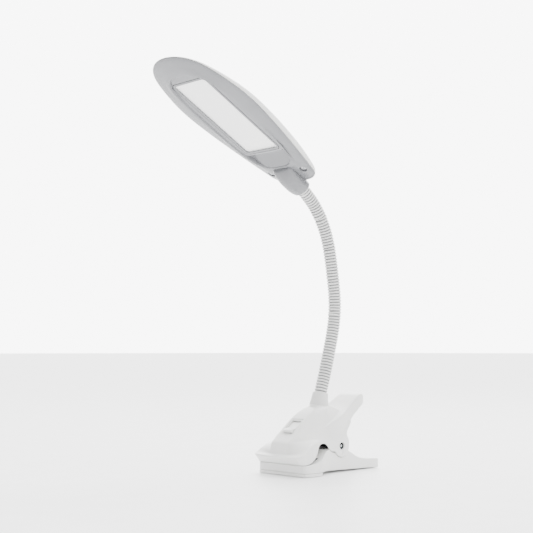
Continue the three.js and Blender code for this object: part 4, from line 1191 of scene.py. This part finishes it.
# The dish is flat round the window and dips into a scoop between the window and the neck.
DISH_FLOOR = [
    (-70, -0.2),
    (-40, -0.15),
    (50, -0.15),
    (57, -0.1),
    (58.5, 0.8),
    (60, 3.2),
    (62, 3.3),
    (70, 1.3),
    (78, -1.1),
]


def dish_floor(y):
    return np.interp(y, *np.array(DISH_FLOOR).T)


def window_hole(name, grow):
    corner = WINDOW_CORNER + grow
    x, y = WINDOW_HALF[0] + grow - corner, WINDOW_HALF[1] + grow - corner
    quarter = np.linspace(0, math.pi / 2, 9)
    edge = [
        (sx * x + corner * math.cos(turn + t), sy * y + corner * math.sin(turn + t))
        for sx, sy, turn in (
            (1, 1, 0), (-1, 1, math.pi / 2), (-1, -1, math.pi), (1, -1, 1.5 * math.pi)
        )
        for t in quarter
    ]
    return loft(name, [head_to_lamp([(ex, ey, level) for ex, ey in edge]) for level in (-8, 4)])


# inset from the rim, drop under it, share of the wall's thickness that lifts the inner skin
COVER_RIM = [
    (0.5, 0.5, 0.4), (1.2, 0.95, 0.55), (3.4, 1.55, 1), (6, 2.05, 1), (9, 2.5, 1), (12, 2.9, 1)
]


def cover_rings(lift):
    rings = [
        head_ring(
            inset + lift, lambda y: rim_height(y) - drop + share * lift
        ) for inset, drop, share in COVER_RIM
    ]
    for inset, step in ((0, 0), (0.3, 0.05), (0.6, 0.3), (0.9, 0.9), (1.2, 1.3)):
        edge = lambda y: np.interp(y, (-64, -30, 40, 80), (-3.0, -1.5, -1.3, -1.8)) + step + lift
        rings.append(squared_ring(31 - inset, -65 + inset, 80 - inset, 3.5, edge))
    for share in np.linspace(0, 1, 14):
        half_width = 29.6 + share * (22 - 29.6)
        start, end = -63.6 + share * (63.6 - 52), 78.6 + share * (52 - 78.6)
        rings.append(
            squared_ring(half_width, start, end, 3.5 + 3 * share, lambda y: dish_floor(y) + lift)
        )
    return rings


outside = [head_ring(0.05, rim_height)] + cover_rings(0)
inside = cover_rings(SHELL_WALL)[::-1] + [head_ring(SHELL_WALL, rim_height)]
cover = loft("head_cover_bowl", [head_to_lamp(ring) for ring in outside + inside], endless=True)
combine(cover, window_hole("window", 0.4), "DIFFERENCE")
SCREW_X, SCREW_Y = 22.5, 90.5
for side in (-1, 1):
    at = head_to_lamp([(side * SCREW_X, SCREW_Y, -6)])[0]
    combine(
        cover,
        turned("screw recess", at, through_head, [(0, 4.4), (5.8, 4.0), (9, 3.7)], 40),
        "DIFFERENCE",
    )
smooth_by_angle(cover, 32)
hand_over(cover, silver_cover, "silver_cover", "head", "head_cover")
print("cover:", triangles(cover), "triangles")

# %% [markdown]
# ## Saddle
# The saddle is a half barrel that grows out of the bowl and ends in a round mouth for the neck.
# Its rings turn from across the head to across the neck.

# %% The saddle's barrel
SADDLE_FRONT = 82.0
# share of the way, level, half width, half height
SADDLE_RINGS = [
    (0, -0.8, 11.2, 3.4),
    (0.03, -1.0, 12.4, 4.6),
    (0.12, -1.6, 13.0, 6.6),
    (0.32, -2.6, 12.6, 8.8),
    (0.58, -3.1, 11.5, 9.9),
    (0.84, -2.9, 10.5, 10.2),
    (1, -2.5, 9.4, 9.4),
]
MOUTH_BACK, MOUTH_RADIUS, MOUTH_TURN = 4.2, 7.0, 0.85
mouth_distance = neck_at[-1] - MOUTH_BACK
mouth = lamp_to_head([neck_place(mouth_distance)])[0]
mouth_way = HEAD_AXES @ neck_direction(mouth_distance)


def saddle_value(column, share):
    return float(smooth_value([(ring[0], ring[column]) for ring in SADDLE_RINGS], share))


def barrel_ring(share):
    level, half_width, half_height = (saddle_value(column, share) for column in (1, 2, 3))
    centre = np.array([0, SADDLE_FRONT + (mouth[1] - SADDLE_FRONT) * share, level])
    way = np.array([0, -1, 0]) * (1 - share * MOUTH_TURN) + mouth_way * share * MOUTH_TURN
    way = way / np.linalg.norm(way)
    across = np.cross(way, [1, 0, 0])
    angles = np.linspace(0, 2 * math.pi, 64, endpoint=False)
    wide = np.outer(np.cos(angles) * half_width, [1, 0, 0])
    return centre + wide + np.outer(np.sin(angles) * half_height, across)


shares = np.concatenate(
    [np.linspace(0, 0.2, 9), np.linspace(0.25, 0.92, 16), np.linspace(0.94, 1, 5)]
)
saddle = loft("saddle", [head_to_lamp(barrel_ring(s)) for s in shares])
bore_from = neck_place(neck_at[-1] - 0.2)
bore_way = -neck_direction(neck_at[-1] - 3)
combine(
    saddle,
    turned("mouth", bore_from, bore_way, [(0, MOUTH_RADIUS), (9, MOUTH_RADIUS)], 48),
    "DIFFERENCE",
)
smooth_by_angle(saddle, 38)
hand_over(saddle, silver_cover, "silver_cover", "head", "neck_saddle")
print("saddle:", triangles(saddle), "triangles")

# %% [markdown]
# ## Screws
# The two screws under the head and the four under the clip are alike, so one node tree sets a
# screw head on each point, turned to the surface it is driven into.

# %% The screw head and its tree
def screw_head(name, radius):
    """A countersunk head with a cross recess, its face towards -Z."""
    profile = [
        (0, radius * 0.86), (0.15, radius * 0.97), (0.4, radius), (1.0, radius), (2.2, radius * 0.5)
    ]
    head = turned(name, (0, 0, 0), (0, 0, 1), profile, 28)
    for turn in (0, math.pi / 2):
        c, s = abs(math.cos(turn)), abs(math.sin(turn))
        arm = (0.28 + radius * 0.55 * c, 0.28 + radius * 0.55 * s)
        combine(head, block("drive", (-arm[0], -arm[1], -1), (arm[0], arm[1], 0.8)), "DIFFERENCE")
    return smooth_by_angle(head, 30)


def screws_tree():
    tree = bpy.data.node_groups.new("screws_on_points", "GeometryNodeTree")
    sockets = tree.interface
    for name, kind in (("Geometry", "Geometry"), ("Screw", "Object"), ("Turn", "Vector")):
        sockets.new_socket(name, in_out="INPUT", socket_type=f"NodeSocket{kind}")
    sockets.new_socket("Size", in_out="INPUT", socket_type="NodeSocketFloat").default_value = 1.0
    sockets.new_socket("Metal", in_out="INPUT", socket_type="NodeSocketMaterial")
    sockets.new_socket("Geometry", in_out="OUTPUT", socket_type="NodeSocketGeometry")
    entry = add_node(tree, "NodeGroupInput")
    points = add_node(tree, "GeometryNodeMeshToPoints", {"Mesh": entry.outputs["Geometry"]})
    one = add_node(tree, "GeometryNodeObjectInfo", {"Object": entry.outputs["Screw"]})
    placed = add_node(
        tree,
        "GeometryNodeInstanceOnPoints",
        {
            "Points": points.outputs["Points"],
            "Instance": one.outputs["Geometry"],
            "Rotation": entry.outputs["Turn"],
            "Scale": entry.outputs["Size"],
        },
    )
    whole = add_node(
        tree, "GeometryNodeRealizeInstances", {"Geometry": placed.outputs["Instances"]}
    )
    dressed = add_node(
        tree,
        "GeometryNodeSetMaterial",
        {"Geometry": whole.outputs["Geometry"], "Material": entry.outputs["Metal"]},
    )
    add_node(tree, "NodeGroupOutput", {"Geometry": dressed.outputs["Geometry"]})
    return tree


SCREW_RADIUS, SCREW_LEVEL, CLIP_SCREW_SIZE = 2.9, 2.0, 0.8
screws = screws_tree()
pattern = screw_head("screw pattern", SCREW_RADIUS)
tilt = math.asin(-along_head[2])


def driven_screw(name, place, body, node, turn, size=1.0):
    inputs = {"Screw": pattern, "Turn": turn, "Size": size, "Metal": zinc_steel}
    piece = grown(name, guide("screw place", place, joined=False), screws, **inputs)
    smooth_by_angle(piece, 30)
    hand_over(piece, zinc_steel, "zinc_steel", body, node)


for side, node in ((-1, "head_screw_left"), (1, "head_screw_right")):
    place = head_to_lamp([(side * SCREW_X, SCREW_Y, SCREW_LEVEL)])
    driven_screw(f"cover_{node}", place, "head", node, (-tilt, 0, 0.4))
floor_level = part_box("floor_screw_1")[0].z / MM
for i in range(1, 5):
    low, high = box_mm(f"floor_screw_{i}")
    place = [((low[0] + high[0]) / 2, (low[1] + high[1]) / 2, floor_level)]
    node = f"floor_screw_{i}"
    driven_screw(f"clip_screw_{i}", place, "upper_jaw", node, (0, 0, 0.3 * i), CLIP_SCREW_SIZE)
bpy.data.objects.remove(pattern)
print("screws made: 2 in the head, 4 in the clip")

# %% [markdown]
# ## Spring
# The torsion spring's wire winds round the bush. Its upper leg presses the housing, its lower leg
# the jaw, and the turns between share the turn of the clip, so the wire blends from one body to
# the other along the pin.

# %% The wire
COIL_RADIUS, WIRE_RADIUS, COIL_HALF = 6.6, 0.9, 6.2
COIL_START, COIL_TURN, COIL_POINTS, WIRE_SIDES = 150, 2116, 420, 12
turn_angles = np.radians(COIL_START - np.linspace(0, COIL_TURN, COIL_POINTS))
coil_x = np.linspace(-COIL_HALF, COIL_HALF, COIL_POINTS)
coil_y = PIVOT[1] + COIL_RADIUS * np.cos(turn_angles)
coil_z = PIVOT[2] + COIL_RADIUS * np.sin(turn_angles)
coil = np.column_stack([coil_x, coil_y, coil_z])
leg_in = [(coil[0][0], y, coil[0][2]) for y in np.linspace(29, 41, 12)]
leg_out = [(coil[-1][0], y, coil[-1][2]) for y in np.linspace(41, 30, 12)]
wire_line = np.vstack([leg_in, coil, leg_out])
rings = []
for i, point in enumerate(wire_line):
    way = wire_line[min(i + 1, len(wire_line) - 1)] - wire_line[max(i - 1, 0)]
    way = way / np.linalg.norm(way)
    side = np.cross(way, [1, 0, 0])
    side = side / np.linalg.norm(side)
    up = np.cross(way, side)
    angles = np.linspace(0, 2 * math.pi, WIRE_SIDES, endpoint=False)
    rings.append(
        point + WIRE_RADIUS * (np.outer(np.cos(angles), side) + np.outer(np.sin(angles), up))
    )
spring = loft("spring_wire", rings)
spring.data.shade_smooth()
hand_over(spring, spring_steel, "spring_steel", None, "torsion_spring")
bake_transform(spring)
print("spring:", triangles(spring), "triangles")

# %% [markdown]
# ## Pin and retainers
# The pin is a turned steel rod with a stepped, rounded end. A spring washer grips it in each
# recess.
# Its dark steel is painted shade of the gap round the pin, so the end reads as a bright dot in a
# dark ring.

# %% The turned pin and its washers
TIP_RADIUS, WASHER_RADIUS, EYE_GAP = 1.3, 3.3, 0.05
end = [(0, 0.8), (0.15, 1.1), (0.4, TIP_RADIUS), (0.95, TIP_RADIUS), (1.0, PIN_RADIUS)]
shaft = end + [(2 * PIN_LENGTH - distance, radius) for distance, radius in end[::-1]]
pin = turned("pin", (-PIN_LENGTH, PIVOT[1], PIVOT[2]), (1, 0, 0), shaft)
smooth_by_angle(pin)
hand_over(pin, zinc_steel, "zinc_steel", "lower_jaw", "pivot_pin")
for side, node in ((-1, "pin_retainer_left"), (1, "pin_retainer_right")):
    # Each washer's dark steel is painted shade of the gap round the pin's end.
    seat = side * (PIN_LENGTH - 0.9)
    profile = [(0, WASHER_RADIUS), (0.35, WASHER_RADIUS), (0.55, WASHER_RADIUS - 0.2)]
    washer = turned("washer", (seat, PIVOT[1], PIVOT[2]), (side, 0, 0), profile, 40)
    combine(washer, cross_bar("eye", -30, 30, TIP_RADIUS + EYE_GAP), "DIFFERENCE")
    washer.name = node.replace("pin_retainer", "washer")
    smooth_by_angle(washer)
    hand_over(washer, spring_steel, "spring_steel", "lower_jaw", node)
print("pin:", triangles(pin), "triangles, each washer:", triangles(washer))

# %% [markdown]
# ## Frame nodes that stay
# The rest of the frame's own parts are already right: the pads, the inside of the clip and the
# window. Their meshes are left as they are, and each only gets the finish of its real material, the
# window's with its painted glow.

# %% Dress the frame's own nodes
DRESS = {
    "lower_grip_pad": grip_pad,
    "upper_grip_pad": grip_pad,
    "housing_floor": white_shell,
    "battery_cell": cell_sleeve,
    "cell_cradle": black_nylon,
    "charge_board": green_board,
    "charge_socket": zinc_steel,
    "spring_bush": black_nylon,
    "switch_body": white_shell,
    "neck_nut": zinc_steel,
    "neck_ferrule": zinc_steel,
    "window_frame": silver_cover,
    "diffuser_panel": opal_panel_painted_glow,
    "light_board": white_board,
}
for name, material in DRESS.items():
    node = frame["nodes"][name]
    node.data.materials.clear()
    node.data.materials.append(material)
print("frame nodes dressed:", len(DRESS))

# %% [markdown]
# ## Room, light and camera
# A pale floor, a bright room and two soft lights stand in for a product table. The floor is one
# sheet of pale paper, so large that its edge lies far off. It could be curved up into a wall, but
# then it would hide the bright side of the room that lights the shell from behind.

# %% Floor
VIEW_AZIMUTH = math.radians(47.4)
FLOOR_SIZE, FLOOR_DROP = 40.0, 0.0004
floor_data = bpy.data.meshes.new("floor")
corners = [
    (x * FLOOR_SIZE, y * FLOOR_SIZE, -FLOOR_DROP) for x, y in ((-1, -1), (1, -1), (1, 1), (-1, 1))
]
floor_data.from_pydata(corners, [], [(0, 1, 2, 3)])
floor = add_object("floor", floor_data)
floor_data.materials.append(mottled("pale_paper", "#fbfbfb", "#f7f7f7", 0.9, 0.45, 0.02, 0.005))
print("floor:", 2 * FLOOR_SIZE, "m across")

# %% [markdown]
# The room is lit the way a small studio is: a bright paper wall stands behind the lamp, the
# ceiling is a large soft light and the side nearest the camera is dimmer, which gives the white
# shell its shading.

# %% The room's light
BASE_LIGHT, WALL_LIGHT, CEILING_LIGHT = 0.35, 8.0, 3.4
world = bpy.data.worlds.new("white room")
bpy.context.scene.world = world
world.use_nodes = True
sky = world.node_tree
direction = add_node(sky, "ShaderNodeTexCoord").outputs["Generated"]
towards_wall = add_node(
    sky,
    "ShaderNodeVectorMath",
    {0: direction},
    {1: (-math.sin(VIEW_AZIMUTH), math.cos(VIEW_AZIMUTH), 0)},
    operation="DOT_PRODUCT",
)
wall = add_node(
    sky,
    "ShaderNodeMapRange",
    {"Value": towards_wall.outputs["Value"]},
    {"From Min": 0.5, "From Max": 0.93, "To Min": 0.0, "To Max": WALL_LIGHT},
    interpolation_type="SMOOTHSTEP",
)
height = add_node(sky, "ShaderNodeSeparateXYZ", {"Vector": direction})
ceiling = add_node(
    sky,
    "ShaderNodeMapRange",
    {"Value": height.outputs["Z"]},
    {"From Min": 0.2, "From Max": 1.0, "To Min": BASE_LIGHT, "To Max": BASE_LIGHT + CEILING_LIGHT},
    interpolation_type="SMOOTHSTEP",
)
room = add_node(
    sky, "ShaderNodeMath", {
        0: wall.outputs["Result"], 1: ceiling.outputs["Result"]
    }, operation="ADD"
)
sky.links.new(room.outputs[0], sky.nodes["Background"].inputs["Strength"])
sky.nodes["Background"].inputs["Color"].default_value = (1, 1, 1, 1)


def soft_light(name, place, target, size, power):
    data = bpy.data.lights.new(name, "AREA")
    data.shape, data.size, data.energy = "DISK", size, power
    lamp = add_object(name, data)
    lamp.location = place
    lamp.rotation_euler = (Vector(target) - Vector(place)).to_track_quat("-Z", "Y").to_euler()


soft_light("key", (1.2, 0.75, 0.55), (0, 0, 0.15), 0.3, 7)
soft_light("top", (-0.1, 0.9, 1.6), (-0.1, 0.4, 0), 0.8, 24)
print("lights:", len(bpy.data.lights))

# %% [markdown]
# The camera stands low, a little to the nose's side, and looks slightly up at the head. A long lens
# from over a metre away keeps the clip and the head in true proportion to each other.

# %% Camera
CAMERA_PLACE = (0.7933, -0.7613, 0.12)
CAMERA_PITCH = math.radians(4.3)
camera_data = bpy.data.cameras.new("camera")
camera_data.lens, camera_data.sensor_width = 75.4, 36
camera_data.clip_start = 0.05
camera = add_object("camera", camera_data)
camera.location = CAMERA_PLACE
camera.rotation_euler = (math.pi / 2 + CAMERA_PITCH, 0, VIEW_AZIMUTH)
bpy.context.scene.camera = camera
print("camera distance:", round(math.dist(CAMERA_PLACE, (0, 0, 0)), 2), "m")
